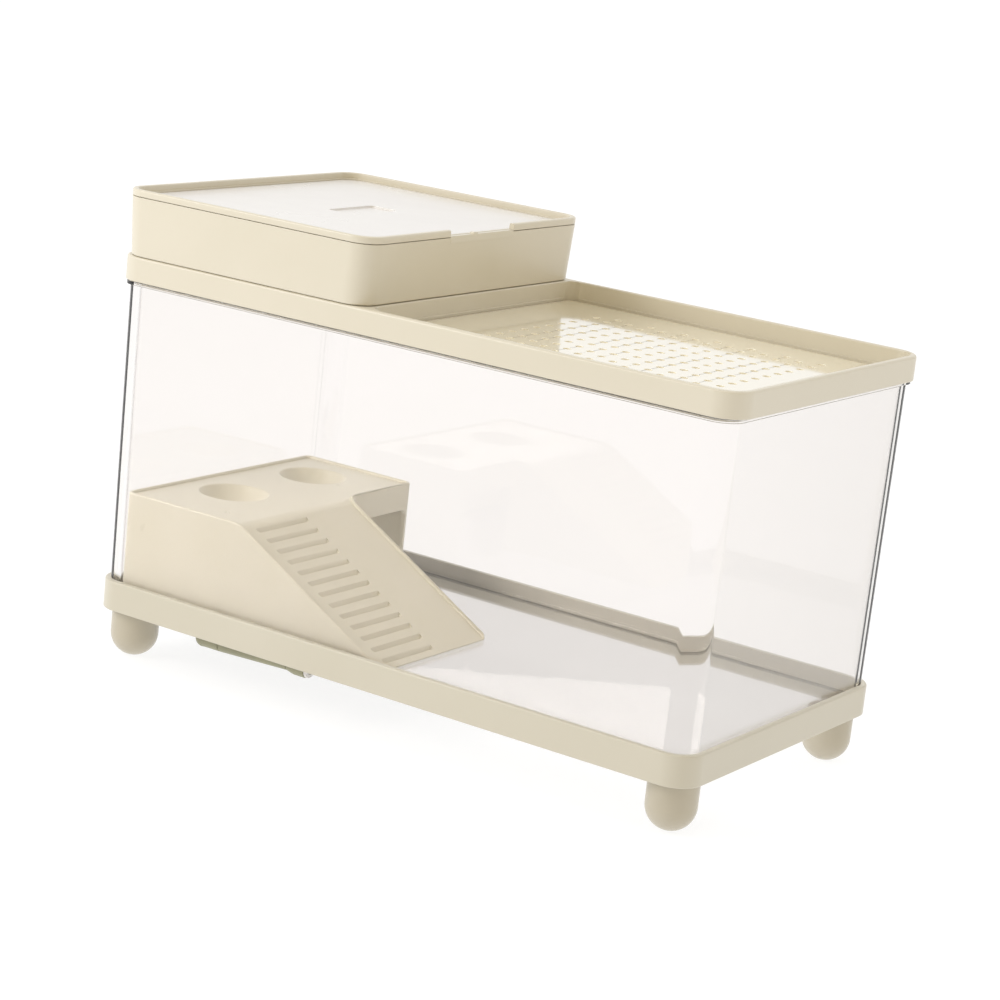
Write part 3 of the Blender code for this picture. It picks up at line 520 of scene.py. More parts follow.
# basking platform
print("turtle tank: basking platform")
platformSpec = {"low": mm(38.1), "top": mm(98.3), "left": mm(-186.9), "right": mm(-105.6),
                "front": mm(-96.4), "rear": mm(72.4), "rampRear": mm(7.4), "bend": mm(-103.1),
                "bendRound": mm(4.0), "toe": mm(0.9), "toeTop": mm(40.5), "corner": mm(5), "inner": mm(9),
                "toeCorner": mm(3), "border": mm(2.5), "sink": mm(1.5), "wall": mm(2.4), "beadRound": mm(1.1),
                "bowls": [(mm(-153.9), mm(-38.9)), (mm(-153.9), mm(35.6))], "bowlRadius": mm(20),
                "bowlDepth": mm(11.5), "bowlEdge": mm(1.0), "door": (mm(13.2), mm(67.2), mm(82.1)),
                "doorCorner": mm(4), "grooves": 13, "grooveFirst": mm(5.8), "groovePitch": mm(8.95),
                "grooveY": (mm(-85.9), mm(-39.9)), "grooveWidth": mm(3.6), "grooveTilt": 38,
                "lipRound": mm(0.5)}


def platformPlan(spec, name, inset, reach, low, high, toeReach):
    # the L-shaped outline seen from above, pulled up: the deck and the ramp beside it
    left, right = spec["left"] + inset, spec["right"] - inset
    front, rear, side = spec["front"] + inset, spec["rear"] - inset, spec["rampRear"] - inset
    plan = addBlock(name, (left, front, low), (right, rear, high))
    pickFaces(plan, lambda c, n: True)
    bpy.ops.mesh.bisect(plane_co=(0, side, 0), plane_no=(0, 1, 0))
    leaveEdit()
    pickFaces(plan, lambda c, n: n.x > 0.9 and c.y < side)
    bpy.ops.mesh.extrude_region_move(TRANSFORM_OT_translate={"value": (spec["toe"] + toeReach - right, 0, 0)})
    leaveEdit()
    pickFaces(plan, lambda c, n: True)
    bpy.ops.mesh.dissolve_limited(angle_limit=math.radians(1))
    leaveEdit()
    tall = (high - low) * 0.6

    def upright(xs, ys):
        return lambda a, b: abs(a.z - b.z) > tall and min(abs(a.x - x) for x in xs) < mm(0.01) \
            and min(abs(a.y - y) for y in ys) < mm(0.01)
    roundEdges(plan, upright([left, right], [rear]), spec["corner"] - min(inset, reach), 8)
    roundEdges(plan, upright([left], [front]), spec["corner"] - min(inset, reach), 8)
    roundEdges(plan, upright([right], [side]), spec["inner"] + inset, 8)
    if toeReach == 0:
        roundEdges(plan, upright([spec["toe"]], [front, side]), spec["toeCorner"], 5)
    return plan


def rampProfile(spec, name, drop, low, toeReach):
    # the side outline with a soft bend, dropped square to its surface, pulled from front to rear
    slope = math.atan2(spec["top"] - spec["toeTop"], spec["toe"] - spec["bend"])
    bend = spec["bend"] - drop * math.tan(slope / 2)
    toe = spec["toe"] + toeReach
    over = mm(12)
    top = spec["top"] - drop
    body = addBlock(name, (spec["left"] - over, spec["front"] - over, low), (toe, spec["rear"] + over, top))
    pickFaces(body, lambda c, n: True)
    bpy.ops.mesh.bisect(plane_co=(bend, 0, 0), plane_no=(1, 0, 0))
    leaveEdit()
    pickEdges(body, lambda a, b: abs(a.x - toe) < mm(0.01) and abs(b.x - toe) < mm(0.01)
              and abs(a.z - top) < mm(0.01) and abs(b.z - top) < mm(0.01))
    bpy.ops.transform.translate(value=(0, 0, -(toe - bend) * math.tan(slope)))
    leaveEdit()
    roundEdges(body, lambda a, b: abs(a.x - bend) < mm(0.01) and abs(b.x - bend) < mm(0.01)
               and abs(a.z - top) < mm(0.01) and abs(b.z - top) < mm(0.01), spec["bendRound"], 8)
    return body


def roundBead(body, spec):
    # the bead's top edges, each between a wall and a face that looks up, on the deck and down the ramp
    slope = math.atan2(spec["top"] - spec["toeTop"], spec["toe"] - spec["bend"])
    clearPick(body, "EDGE")
    mesh = body.data
    beside = {}
    for face in mesh.polygons:
        for key in face.edge_keys:
            beside.setdefault(key, []).append(face.normal.z)
    for edge in mesh.edges:
        ends = [mesh.vertices[i].co for i in edge.vertices]
        drops = [spec["top"] - max(p.x - spec["bend"], 0) * math.tan(slope) - p.z for p in ends]
        looks = beside.get(edge.key, [0, 0])
        edge.select = max(drops) < spec["sink"] * 0.6 and max(looks) > 0.7 and min(abs(n) for n in looks) < 0.3
    bpy.ops.object.mode_set(mode="EDIT")
    bpy.ops.mesh.bevel(offset=spec["beadRound"], segments=3, profile=0.5, affect="EDGES", clamp_overlap=False)
    leaveEdit()


def makePlatform(spec):
    low, top, over = spec["low"], spec["top"], mm(3)
    wall, sink = spec["wall"], spec["sink"]
    body = platformPlan(spec, "baskingPlatform", 0, 0, low, top + over, 0)
    combine(body, [rampProfile(spec, "outerProfile", 0, low, over)], "INTERSECT")
    # the raised bead round the deck and along the ramp
    well = platformPlan(spec, "well", spec["border"], spec["border"], low, top + over, over)
    combine(well, [rampProfile(spec, "sunkProfile", sink, low - 4 * over, 2 * over)], "DIFFERENCE")
    cut(body, well)
    roundBead(body, spec)
    # the open underside
    hollow = platformPlan(spec, "hollow", wall, wall, low - over, top, -wall)
    combine(hollow, [rampProfile(spec, "underProfile", sink + wall, low - 4 * over, over)], "INTERSECT")
    deck = top - sink
    ballRadius = (spec["bowlRadius"] ** 2 + spec["bowlDepth"] ** 2) / (2 * spec["bowlDepth"])
    balls = []
    for x, y in spec["bowls"]:
        for radius in (ballRadius + wall, ballRadius):
            deselectAll()
            bpy.ops.mesh.primitive_uv_sphere_add(segments=64, ring_count=48, radius=radius,
                                                 location=(x, y, deck - spec["bowlDepth"] + ballRadius))
            balls.append(settle(bpy.context.object, "bowl"))
    cut(hollow, balls[0], balls[2])
    cut(body, hollow, balls[1], balls[3])
    # the doorway under the deck, with round top corners
    y0, y1, doorTop = spec["door"]
    door = addBlock("door", (spec["right"] - 2 * wall, y0, low - over), (spec["right"] + over, y1, doorTop))
    roundEdges(door, lambda a, b: abs(a.x - b.x) > wall and a.z > doorTop - mm(0.1), spec["doorCorner"], 6)
    cut(body, door)
    return body, deck


def cutGrooves(body, spec, deck):
    # grooves that get deeper downhill, so each ends in a small step that a claw can grip
    slope = math.atan2(spec["top"] - spec["toeTop"], spec["toe"] - spec["bend"])
    y0, y1 = spec["grooveY"]
    width = spec["grooveWidth"]
    depth = width / 2 * math.sin(math.radians(spec["grooveTilt"]))
    pattern = roundBlock("groovePattern", (-width / 2, y0, -depth), (width / 2, y1, 5 * depth), width * 0.48, 6)
    pickPiece(pattern)
    pattern.rotation_euler = (0, slope + math.radians(spec["grooveTilt"]), 0)
    settle(pattern)
    grooves = []
    for i in range(spec["grooves"]):
        along = spec["grooveFirst"] + i * spec["groovePitch"]
        x = spec["bend"] + along * math.cos(slope)
        z = deck - along * math.sin(slope)
        grooves.append(copyAt(pattern, (x, 0, z), "groove"))
    bpy.data.objects.remove(pattern, do_unlink=True)
    cut(body, joinMeshes(grooves, "grooves"))
    roundEdges(body, lambda a, b: all(
        abs((p.z - deck) * math.cos(slope) + (p.x - spec["bend"]) * math.sin(slope)) < mm(0.05)
        and y0 - mm(0.1) < p.y < y1 + mm(0.1) for p in (a, b)), spec["lipRound"], 2)


platform, deckHeight = makePlatform(platformSpec)
for bowlX, bowlY in platformSpec["bowls"]:
    roundEdges(platform, lambda a, b: all(abs(p.z - deckHeight) < mm(0.05) and abs(
        math.hypot(p.x - bowlX, p.y - bowlY) - platformSpec["bowlRadius"]) < mm(0.2) for p in (a, b)),
        platformSpec["bowlEdge"], 3)
cutGrooves(platform, platformSpec, deckHeight)
finishPiece(platform, ivoryPp, "platform", ["basking_platform"])

# lid frame
print("turtle tank: lid frame")
lidSpec = {"low": mm(220.1), "corner": mm(16), "topRound": mm(1.5), "bottomRound": mm(0.6), "wall": mm(3.8),
           "ledgeTop": mm(221.3), "stepTop": mm(224.6), "stepWidth": mm(1.2), "stepRound": mm(0.3),
           "ledgeWidth": mm(10), "divider": (mm(-31.8), mm(-28.0)), "pocketCorner": mm(5),
           "rimRound": mm(0.8), "rib": (mm(193.7), mm(98.2)), "ribLow": mm(217.9), "ribWall": mm(1.8),
           "ribCorner": mm(9.5)}


def makeLid(spec):
    boxLow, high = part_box("lid_frame")
    low = (boxLow[0], boxLow[1], spec["low"])
    over, wall, step = mm(3), spec["wall"], spec["stepWidth"]
    inner = spec["corner"] - wall
    lid = roundBlock("lidFrame", low, high, spec["corner"], 14)
    roundEdges(lid, atHeight(high[2]), spec["topRound"], 5)
    roundEdges(lid, atHeight(low[2]), spec["bottomRound"], 3)
    ribX, ribY = spec["rib"]
    ribWall = spec["ribWall"]
    rib = roundBlock("rib", (-ribX, -ribY, spec["ribLow"]), (ribX, ribY, (low[2] + spec["ledgeTop"]) / 2),
                     spec["ribCorner"], 8)
    ribHollow = roundBlock("ribHollow", (-ribX + ribWall, -ribY + ribWall, spec["ribLow"] - over),
                           (ribX - ribWall, ribY - ribWall, low[2]), spec["ribCorner"] - ribWall, 8)
    join(lid, rib)
    top = high[2] + over
    leftEnd, rightStart = spec["divider"]
    bayLow, bayHigh = (low[0] + wall, low[1] + wall), (high[0] - wall, high[1] - wall)
    rightBay = [(rightStart, bayLow[1]), bayHigh]
    leftBay = [bayLow, (leftEnd, bayHigh[1])]
    ledge = spec["ledgeWidth"]
    cut(lid, ribHollow,
        roundBlock("rightBay", (*rightBay[0], spec["stepTop"]), (*rightBay[1], top), inner, 12),
        roundBlock("ventPocket", (rightStart + step, bayLow[1] + step, spec["ledgeTop"]),
                   (bayHigh[0] - step, bayHigh[1] - step, top), spec["pocketCorner"], 8),
        roundBlock("leftBay", (*leftBay[0], spec["ledgeTop"]), (*leftBay[1], top), inner, 12),
        roundBlock("rightWindow", (rightStart + ledge, bayLow[1] + ledge, spec["ribLow"] - over),
                   (bayHigh[0] - ledge, bayHigh[1] - ledge, top), spec["pocketCorner"], 8),
        roundBlock("leftWindow", (bayLow[0] + ledge, bayLow[1] + ledge, spec["ribLow"] - over),
                   (leftEnd - ledge / 2, bayHigh[1] - ledge, top), spec["pocketCorner"], 8))
    for bay in (rightBay, leftBay):
        roundEdges(lid, onRim(high[2], bay[0], bay[1], inner), spec["rimRound"], 3)
    roundEdges(lid, onRim(spec["stepTop"], (rightStart + step, bayLow[1] + step),
                          (bayHigh[0] - step, bayHigh[1] - step), spec["pocketCorner"]), spec["stepRound"], 2)
    return finishPiece(lid, ivoryAbs, "lid", ["lid_frame"])


makeLid(lidSpec)

# vent panel
print("turtle tank: vent panel")
ventSpec = {"corner": mm(4.6), "edge": mm(0.25), "firstX": mm(15.8), "columnPitch": mm(10.9), "columns": 14,
            "rowPitch": mm(12.3), "rows": 12, "holeRadius": mm(2.25), "holeSides": 28}


def makeVent(spec):
    low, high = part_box("vent_panel")
    panel = roundBlock("ventPanel", low, high, spec["corner"], 8)
    roundEdges(panel, atHeight(high[2]), spec["edge"], 2)
    over = mm(2)
    pattern = addRod("holePattern", (0, 0, low[2] - over), "z", spec["holeRadius"], high[2] - low[2] + 2 * over,
                     spec["holeSides"])
    holes, centres = [], []
    for column in range(spec["columns"]):
        rows = spec["rows"] - (column + 1) % 2
        for row in range(rows):
            centres.append((spec["firstX"] + column * spec["columnPitch"],
                            (row - (rows - 1) / 2) * spec["rowPitch"]))
            holes.append(copyAt(pattern, (*centres[-1], 0), "hole"))
    bpy.data.objects.remove(pattern, do_unlink=True)
    cut(panel, joinMeshes(holes, "holes"))

    def holeEdge(a, b):
        if abs(a.z - high[2]) > mm(0.02) or abs(b.z - high[2]) > mm(0.02):
            return False
        near = [min(abs(math.hypot(p.x - x, p.y - y) - spec["holeRadius"]) for x, y in centres) for p in (a, b)]
        return max(near) < mm(0.02)
    roundEdges(panel, holeEdge, spec["edge"], 2)
    # the vent panel wears the lighter ivory, painted light
    return finishPiece(panel, glossyAbsLit, "vent", ["vent_panel"])


makeVent(ventSpec)

# filter box
print("turtle tank: filter box")
boxSpec = {"low": mm(234.6), "top": mm(267.7), "bottomX": (mm(-197.5), mm(-28.6)), "bottomY": mm(104.2),
           "flare": (mm(2.0), mm(0.6)), "corner": mm(13.5), "wall": mm(2.6), "floor": mm(2.2),
           "bottomRound": mm(1.0), "topRound": mm(0.3), "plugX": (mm(-197.3), mm(-32.6)), "plugY": mm(99.4),
           "plugCorner": mm(12.2), "plugLow": mm(226.6), "plugRound": mm(0.8), "outlets": 7,
           "outletSize": (mm(4), mm(60)), "outletPitch": mm(18), "tongueHalf": mm(30.7), "tongueTop": mm(268.5),
           "nubY": mm(-7), "nubHalf": mm(2), "nubTop": mm(269.5), "nubRound": mm(0.6)}


def makeFilterBox(spec):
    x0, x1 = spec["bottomX"]
    y = spec["bottomY"]
    low, top, wall = spec["low"], spec["top"], spec["wall"]
    flareX, flareY = spec["flare"]
    box = roundBlock("filterBox", (x0, -y, low), (x1, y, top), spec["corner"], 14, (flareX, flareY))
    roundEdges(box, atHeight(low), spec["bottomRound"], 4)
    roundEdges(box, atHeight(top), spec["topRound"], 2)
    px0, px1 = spec["plugX"]
    py = spec["plugY"]
    plug = roundBlock("plug", (px0, -py, spec["plugLow"]), (px1, py, low + spec["floor"]), spec["plugCorner"], 12)
    roundEdges(plug, atHeight(spec["plugLow"]), spec["plugRound"], 3)
    join(box, plug)
    over = mm(3)
    rise = (top - low - spec["floor"] + over) / (top - low)
    cut(box,
        roundBlock("plugHollow", (px0 + wall, -py + wall, spec["plugLow"] + spec["floor"]),
                   (px1 - wall, py - wall, (low + top) / 2), spec["plugCorner"] - wall, 12),
        roundBlock("hollow", (x0 + wall, -y + wall, low + spec["floor"]), (x1 - wall, y - wall, top + over),
                   spec["corner"] - wall, 12, (flareX * rise, flareY * rise)))
    wallX = x1 + flareX
    tongue = addBlock("tongue", (wallX - wall, -spec["tongueHalf"], top - over),
                      (wallX, spec["tongueHalf"], spec["tongueTop"]))
    nub = addBlock("nub", (wallX - wall, spec["nubY"] - spec["nubHalf"], top - over),
                   (wallX, spec["nubY"] + spec["nubHalf"], spec["nubTop"]))
    roundEdges(nub, lambda a, b: abs(a.x - b.x) > mm(1) and a.z > top, spec["nubRound"], 4)
    join(box, tongue, nub)
    sizeX, sizeY = spec["outletSize"]
    slots = []
    for i in range(spec["outlets"]):
        middle = (px0 + px1) / 2 + (i - (spec["outlets"] - 1) / 2) * spec["outletPitch"]
        slots.append(roundBlock("outlet", (middle - sizeX / 2, -sizeY / 2, spec["plugLow"] - over),
                                (middle + sizeX / 2, sizeY / 2, spec["plugLow"] + 2 * over), sizeX * 0.49, 8))
    cut(box, *slots)
    return finishPiece(box, ivoryAbs, "box", ["filter_box"])


makeFilterBox(boxSpec)

# drip tray and sponge
print("turtle tank: drip tray and sponge")
insertSpec = {"corner": mm(9.6), "edge": mm(0.5), "plate": mm(2), "slots": 9, "slotWidth": mm(4),
              "slotPitch": mm(15), "slotMargin": mm(20.3), "spongeEdge": mm(2.0), "spongeVoxel": mm(1.8),
              "spongeLump": mm(5), "spongeRoughness": mm(0.5)}


def makeInsert(spec):
    low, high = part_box("drip_tray")
    tray = roundBlock("dripTray", low, high, spec["corner"], 8)
    roundEdges(tray, atHeight(high[2]), spec["edge"], 3)
    plate, over = spec["plate"], mm(3)
    hollow = roundBlock("hollow", (low[0] + plate, low[1] + plate, low[2] - over),
                        (high[0] - plate, high[1] - plate, high[2] - plate), spec["corner"] - plate, 8)
    slots = []
    half, margin = spec["slotWidth"] / 2, spec["slotMargin"]
    for i in range(spec["slots"]):
        middle = (low[0] + high[0]) / 2 + (i - (spec["slots"] - 1) / 2) * spec["slotPitch"]
        slots.append(roundBlock("slot", (middle - half, low[1] + margin, low[2] - over),
                                (middle + half, high[1] - margin, high[2] + over), spec["slotWidth"] * 0.49, 8))
    cut(tray, hollow, *slots)
    finishPiece(tray, ivoryAbs, "insert", ["drip_tray"])

    low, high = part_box("filter_sponge")
    sponge = roundBlock("filterSponge", low, high, spec["corner"], 6)
    roundEdges(sponge, atHeight(high[2]), spec["spongeEdge"], 3)
    roundEdges(sponge, atHeight(low[2]), spec["spongeEdge"], 3)
    pickPiece(sponge)
    remesh = sponge.modifiers.new("even mesh", "REMESH")
    remesh.mode = "VOXEL"
    remesh.voxel_size = spec["spongeVoxel"]
    bpy.ops.object.modifier_apply(modifier=remesh.name)
    lumps = bpy.data.textures.new("foam lumps", "CLOUDS")
    lumps.noise_scale = spec["spongeLump"]
    push = sponge.modifiers.new("lumps", "DISPLACE")
    push.texture = lumps
    push.texture_coords = "LOCAL"
    push.strength = spec["spongeRoughness"]
    push.mid_level = 1.0
    bpy.ops.object.modifier_apply(modifier=push.name)
    finishPiece(sponge, filterFoam, "insert", ["filter_sponge"], 80)


makeInsert(insertSpec)

# filter box lid
print("turtle tank: filter box lid")
rimSpec = {"corner": mm(13.5), "low": mm(268.0), "topRound": mm(1.0), "bottomRound": mm(0.4), "wall": mm(3.2),
           "skirtSet": mm(3.0), "skirtLow": mm(263.5), "wellFloor": mm(268.6), "seatSet": mm(4.8),
           "seatCorner": mm(11.6), "windowCorner": mm(8.7), "seatFloor": mm(264.9), "windowSet": mm(9.0),
           "notchHalf": mm(31), "notchReach": mm(2), "rimRound": mm(0.7)}
panelSpec = {"corner": mm(11.2), "edge": mm(0.4), "pocketLength": mm(42), "pocketWidth": mm(19),
             "pocketDepth": mm(1.2), "pocketCorner": mm(3), "pocketShift": mm(3), "pocketEdge": mm(0.35),
             "pocketFloorRound": mm(0.5)}


def makeBoxLid(spec, panelSpec):
    boxLow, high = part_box("box_lid_rim")
    low = (boxLow[0], boxLow[1], spec["low"])
    over = mm(3)

    def inset(distance, z0, z1, name, corner=None):
        return roundBlock(name, (low[0] + distance, low[1] + distance, z0),
                          (high[0] - distance, high[1] - distance, z1), corner or spec["corner"] - distance, 12)
    rim = roundBlock("boxLidRim", low, high, spec["corner"], 14)
    roundEdges(rim, atHeight(high[2]), spec["topRound"], 4)
    roundEdges(rim, atHeight(low[2]), spec["bottomRound"], 2)
    join(rim, inset(spec["skirtSet"], spec["skirtLow"], spec["wellFloor"], "skirt"))
    seatSet, windowSet = spec["seatSet"], spec["windowSet"]
    cut(rim, inset(spec["wall"], spec["wellFloor"], high[2] + over, "well"),
        inset(seatSet, spec["seatFloor"], high[2] + over, "seat", spec["seatCorner"]),
        inset(windowSet, spec["skirtLow"] - over, high[2], "window", spec["windowCorner"]))
    wall = spec["wall"]
    inLow, inHigh = (low[0] + wall, low[1] + wall), (high[0] - wall, high[1] - wall)
    roundEdges(rim, onRim(high[2], inLow, inHigh, spec["corner"] - wall), spec["rimRound"], 3)
    half = spec["notchHalf"]
    notch = addBlock("notch", (high[0] - spec["skirtSet"], -half, low[2] - over),
                     (high[0] + over, half, high[2] + over))
    step = addBlock("notchStep", (high[0] - wall - spec["notchReach"], -half, spec["wellFloor"]),
                    (high[0] + over, half, high[2] + over))
    cut(rim, notch, step)
    finishPiece(rim, ivoryAbs, "box_rim", ["box_lid_rim"])

    low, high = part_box("box_lid_panel")
    panel = roundBlock("boxLidPanel", low, high, panelSpec["corner"], 10)
    roundEdges(panel, atHeight(high[2]), panelSpec["edge"], 3)
    middle = (low[0] + high[0]) / 2 + panelSpec["pocketShift"]
    halfWidth, halfLength = panelSpec["pocketWidth"] / 2, panelSpec["pocketLength"] / 2
    pocketLow = (middle - halfWidth, -halfLength, high[2] - panelSpec["pocketDepth"])
    pocketHigh = (middle + halfWidth, halfLength, high[2] + over)
    pocket = roundBlock("fingerPocket", pocketLow, pocketHigh, panelSpec["pocketCorner"], 8)
    roundEdges(pocket, atHeight(pocketLow[2]), panelSpec["pocketFloorRound"], 3)
    cut(panel, pocket)
    roundEdges(panel, onRim(high[2], pocketLow, pocketHigh, panelSpec["pocketCorner"]),
               panelSpec["pocketEdge"], 2)
    finishPiece(panel, whiteAbs, "box_panel", ["box_lid_panel"])


makeBoxLid(rimSpec, panelSpec)

# drain
print("turtle tank: drain")
drainSpec = {"x": mm(-131.0), "y": mm(-84.5), "z": mm(22.3), "collar": mm(7.0), "collarLow": mm(26.2),
             "collarTop": mm(32.0), "bend": mm(5.2), "armEnd": mm(-118.0), "arm": mm(5.0), "pipeStart": mm(5.0),
             "pipeEnd": mm(3.4), "pipeX": (mm(-117.7), mm(-69.7)), "bore": mm(2.5),
             "nozzleX": (mm(-69.4), mm(-56.4)), "nozzleFlare": mm(5.0), "nozzle": mm(4.6),
             "nozzleBore": mm(2.8), "plugX": (mm(-56.1), mm(-54.3)), "plug": mm(4.2),
             "plugStem": mm(2.5), "plugReach": mm(7.0), "recess": mm(2.0), "recessDepth": mm(4.0),
             "barb": mm(2.1), "barbReach": mm(9), "barbBore": mm(1.2), "socketLow": mm(27.5),
             "stemHole": mm(5.3), "riserBore": mm(3.0), "riser": mm(9)}
fittingSpec = {"bore": mm(3.4), "top": mm(41.2), "flange": mm(8.8), "flangeLow": mm(39.6), "stem": mm(5),
               "stemLow": mm(27.8), "hole": mm(5.3), "sealTop": mm(39.3), "sealLow": mm(38.1),
               "round": mm(0.4), "nutEdge": mm(0.3), "strainer": mm(7.2), "strainerBore": mm(6),
               "roof": mm(1.2), "slots": 6, "slotStart": mm(1.5), "slotEnd": mm(9), "slotHalf": mm(0.8)}


def makeDrain(spec, fixed):
    axis = (spec["x"], spec["y"], 0)
    arc = [(spec["bend"] * math.cos(k * math.pi / 20), spec["z"] - spec["bend"] * math.sin(k * math.pi / 20))
           for k in range(11)]
    profile = roundedProfile([(0, spec["collarTop"], 0), (spec["collar"], spec["collarTop"], mm(0.4)),
                              (spec["collar"], spec["collarLow"], mm(0.6)),
                              (spec["bend"], spec["collarLow"], 0)])
    elbow = lathe("drainElbow", profile + arc[:-1] + [(0, arc[-1][1])], axis, sides=48)
    middle = (spec["x"], spec["y"], spec["z"])
    arm = addRod("arm", middle, "x", spec["arm"], spec["armEnd"] - spec["x"])
    roundEdges(arm, lambda a, b: min(a.x, b.x) > spec["armEnd"] - mm(0.01), mm(0.4), 3)
    barb = addRod("barb", middle, "x", spec["barb"], spec["armEnd"] - spec["x"] + spec["barbReach"], 32)
    join(elbow, arm, barb)
    over = mm(3)
    cut(elbow, addRod("socket", (spec["x"], spec["y"], spec["socketLow"]), "z", spec["stemHole"], mm(8)),
        addRod("riserBore", middle, "z", spec["riserBore"], spec["riser"], 32),
        addRod("armBore", middle, "x", spec["barbBore"],
               spec["armEnd"] - spec["x"] + spec["barbReach"] + over, 24))
    finishPiece(elbow, olivePvc, "spout", ["drain_elbow"])

    place = (0, spec["y"], spec["z"])
    x0, x1 = spec["pipeX"]
    pipe = lathe("drainPipe", roundedProfile([(spec["bore"], x1, 0), (spec["pipeEnd"], x1, mm(0.3)),
                                              (spec["pipeStart"], x0, mm(0.5)), (spec["bore"], x0, 0),
                                              (spec["bore"], x1, 0)]), place, "x", 48)
    finishPiece(pipe, olivePvc, "spout", ["drain_pipe"])
    n0, n1 = spec["nozzleX"]
    flare = n0 + spec["nozzleFlare"]
    tail = x1 - mm(8)
    nozzle = lathe("drainNozzle", roundedProfile([
        (spec["nozzleBore"], n1, 0), (spec["nozzle"], n1, mm(0.5)), (spec["nozzle"], flare, mm(1.5)),
        (spec["pipeEnd"], n0, mm(0.2)), (spec["barb"], n0, 0), (spec["barb"], tail, mm(0.3)),
        (spec["barbBore"], tail, 0), (spec["barbBore"], flare, 0), (spec["nozzleBore"], flare, 0),
        (spec["nozzleBore"], n1, 0)]), place, "x", 48)
    finishPiece(nozzle, olivePvc, "spout", ["drain_nozzle"])
    p0, p1 = spec["plugX"]
    plug = lathe("drainPlug", roundedProfile([
        (0, p1 - spec["recessDepth"], 0), (spec["recess"], p1 - spec["recessDepth"], mm(0.3)),
        (spec["recess"], p1, mm(0.3)), (spec["plug"], p1, mm(0.5)), (spec["plug"], p0, mm(0.3)),
        (spec["plugStem"], p0, 0), (spec["plugStem"], p0 - spec["plugReach"], mm(0.4)),
        (0, p0 - spec["plugReach"], 0)]), place, "x", 48)
    finishPiece(plug, whiteAbs, "stopper", ["drain_plug"])

    # the fixed fittings in the tank's floor
    bore, stem, flange, hole = fixed["bore"], fixed["stem"], fixed["flange"], fixed["hole"]
    soft = fixed["round"]
    outlet = lathe("drainOutlet", roundedProfile([
        (bore, fixed["top"], 0), (flange, fixed["top"], soft), (flange, fixed["flangeLow"], mm(0.2)),
        (stem, fixed["flangeLow"], 0), (stem, fixed["stemLow"], mm(0.3)), (bore, fixed["stemLow"], 0),
        (bore, fixed["top"], 0)]), axis, sides=48)
    finishPiece(outlet, olivePvc, "base", ["drain_outlet"])
    sealTop, sealLow = fixed["sealTop"], fixed["sealLow"]
    seal = lathe("drainSeal", roundedProfile([
        (hole, sealTop, 0), (flange, sealTop, soft), (flange, sealLow, soft), (hole, sealLow, 0),
        (hole, sealTop, 0)]), axis, sides=48)
    finishPiece(seal, nitrile, "base", ["drain_seal"])
    low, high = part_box("drain_nut")
    nut = addRod("drainNut", (*axis[:2], low[2]), "z", flange, high[2] - low[2], 6)
    roundEdges(nut, lambda a, b: True, fixed["nutEdge"], 2)
    cut(nut, addRod("nutBore", (*axis[:2], low[2] - mm(2)), "z", hole, mm(8)))
    finishPiece(nut, olivePvc, "base", ["drain_nut"])
    low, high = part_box("drain_strainer")
    outer, inner, roof = fixed["strainer"], fixed["strainerBore"], fixed["roof"]
    strainer = lathe("drainStrainer", roundedProfile([
        (0, high[2], 0), (outer, high[2], mm(0.8)), (outer, low[2], mm(0.2)), (inner, low[2], 0),
        (inner, high[2] - roof, mm(0.3)), (0, high[2] - roof, 0)]), axis, sides=48)
    slots = []
    for i in range(fixed["slots"]):
        slot = addBlock("slot", (fixed["slotStart"], -fixed["slotHalf"], low[2] + roof),
                        (fixed["slotEnd"], fixed["slotHalf"], high[2] - roof))
        slot.rotation_euler = (0, 0, 2 * math.pi * i / fixed["slots"])
        slot.location = axis
        slots.append(settle(slot))
    cut(strainer, *slots)
    finishPiece(strainer, ivoryAbs, "base", ["drain_strainer"])


makeDrain(drainSpec, fittingSpec)

# floor, light and camera
print("turtle tank: floor, light and camera")
stageSpec = {"floorSize": 60, "floorTone": "#808080", "floorGlow": 0.85, "skyTone": "#FCFCFC",
             "dimTone": "#B6A57E", "dimToward": (0.64, -0.75, 0.15), "dimStart": 0.1, "dimFull": 0.9}
lampSpec = {  # place, aim, size in metres and power in watts
    "softKey": ((-0.75, -0.95, 0.75), (-0.05, 0, 0.12), (0.5, 0.5), 5.6),
    "topSoft": ((0.35, -0.45, 1.2), (0.1, 0, 0.22), (0.5, 0.5), 1.5),
    "tankFill": ((0, 0, 0.214), (0, 0, 0), (0.36, 0.17), 0.08)}
cameraSpec = {"lens": 100.43, "sensor": 36, "place": (0.82969, -1.28066, 0.49094),
              "turn": (1.331889, -0.105751, 0.598477)}


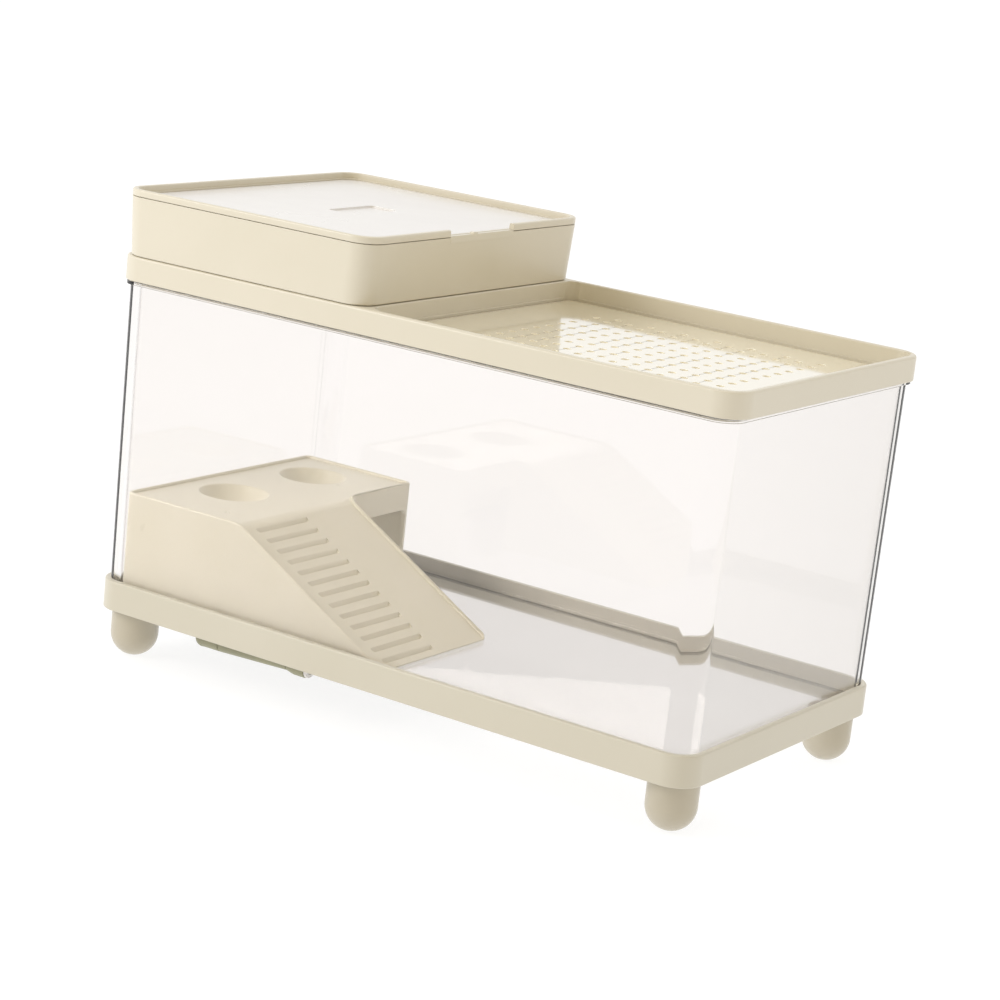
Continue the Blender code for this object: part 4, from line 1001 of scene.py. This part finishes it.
def makeStage(spec):
    deselectAll()
    bpy.ops.mesh.primitive_plane_add(size=spec["floorSize"])
    floor = bpy.context.object
    floor.name = "studioFloor"
    material, tree, shader, place = startMaterial("matte white paper", {
        "Base Color": linear(spec["floorTone"]), "Roughness": 0.9, "Specular IOR Level": 0.1,
        "Emission Color": linear("#FFFFFF"), "Emission Strength": spec["floorGlow"]})
    floor.data.materials.append(material)
    world = bpy.data.worlds.new("pale studio")
    bpy.context.scene.world = world
    world.use_nodes = True
    # the studio is white all round, with one dim warm side in front on the right
    sky = world.node_tree
    direction = addNode(sky, "ShaderNodeTexCoord", {}).outputs["Generated"]
    toward = addNode(sky, "ShaderNodeVectorMath", {"operation": "DOT_PRODUCT", 1: spec["dimToward"]},
                     [(direction, 0)])
    tone = addNode(sky, "ShaderNodeValToRGB", {}, [(toward.outputs["Value"], "Fac")])
    tone.color_ramp.elements[0].position = spec["dimStart"]
    tone.color_ramp.elements[0].color = linear(spec["skyTone"])
    tone.color_ramp.elements[1].position = spec["dimFull"]
    tone.color_ramp.elements[1].color = linear(spec["dimTone"])
    sky.links.new(tone.outputs["Color"], sky.nodes["Background"].inputs["Color"])


def addLamp(name, place, target, size, power):
    data = bpy.data.lights.new(name, "AREA")
    data.shape = "RECTANGLE"
    data.size, data.size_y = size
    data.energy = power
    lamp = bpy.data.objects.new(name, data)
    bpy.context.scene.collection.objects.link(lamp)
    lamp.location = place
    lamp.rotation_euler = (Vector(target) - Vector(place)).to_track_quat("-Z", "Y").to_euler()
    return lamp


def addCamera(spec):
    data = bpy.data.cameras.new("photoCamera")
    data.lens = spec["lens"]
    data.sensor_width = spec["sensor"]
    data.clip_start = 0.05
    data.clip_end = 100
    camera = bpy.data.objects.new("photoCamera", data)
    bpy.context.scene.collection.objects.link(camera)
    camera.location = spec["place"]
    camera.rotation_euler = spec["turn"]
    bpy.context.scene.camera = camera


makeStage(stageSpec)
lamps = {name: addLamp(name, *settings) for name, settings in lampSpec.items()}
fill = lamps["tankFill"]  # lights the inside of the tank and isn't seen itself
fill.visible_camera = fill.visible_glossy = fill.visible_transmission = False
addCamera(cameraSpec)
bpy.context.scene.view_settings.view_transform = "Standard"

print("turtle tank: done")
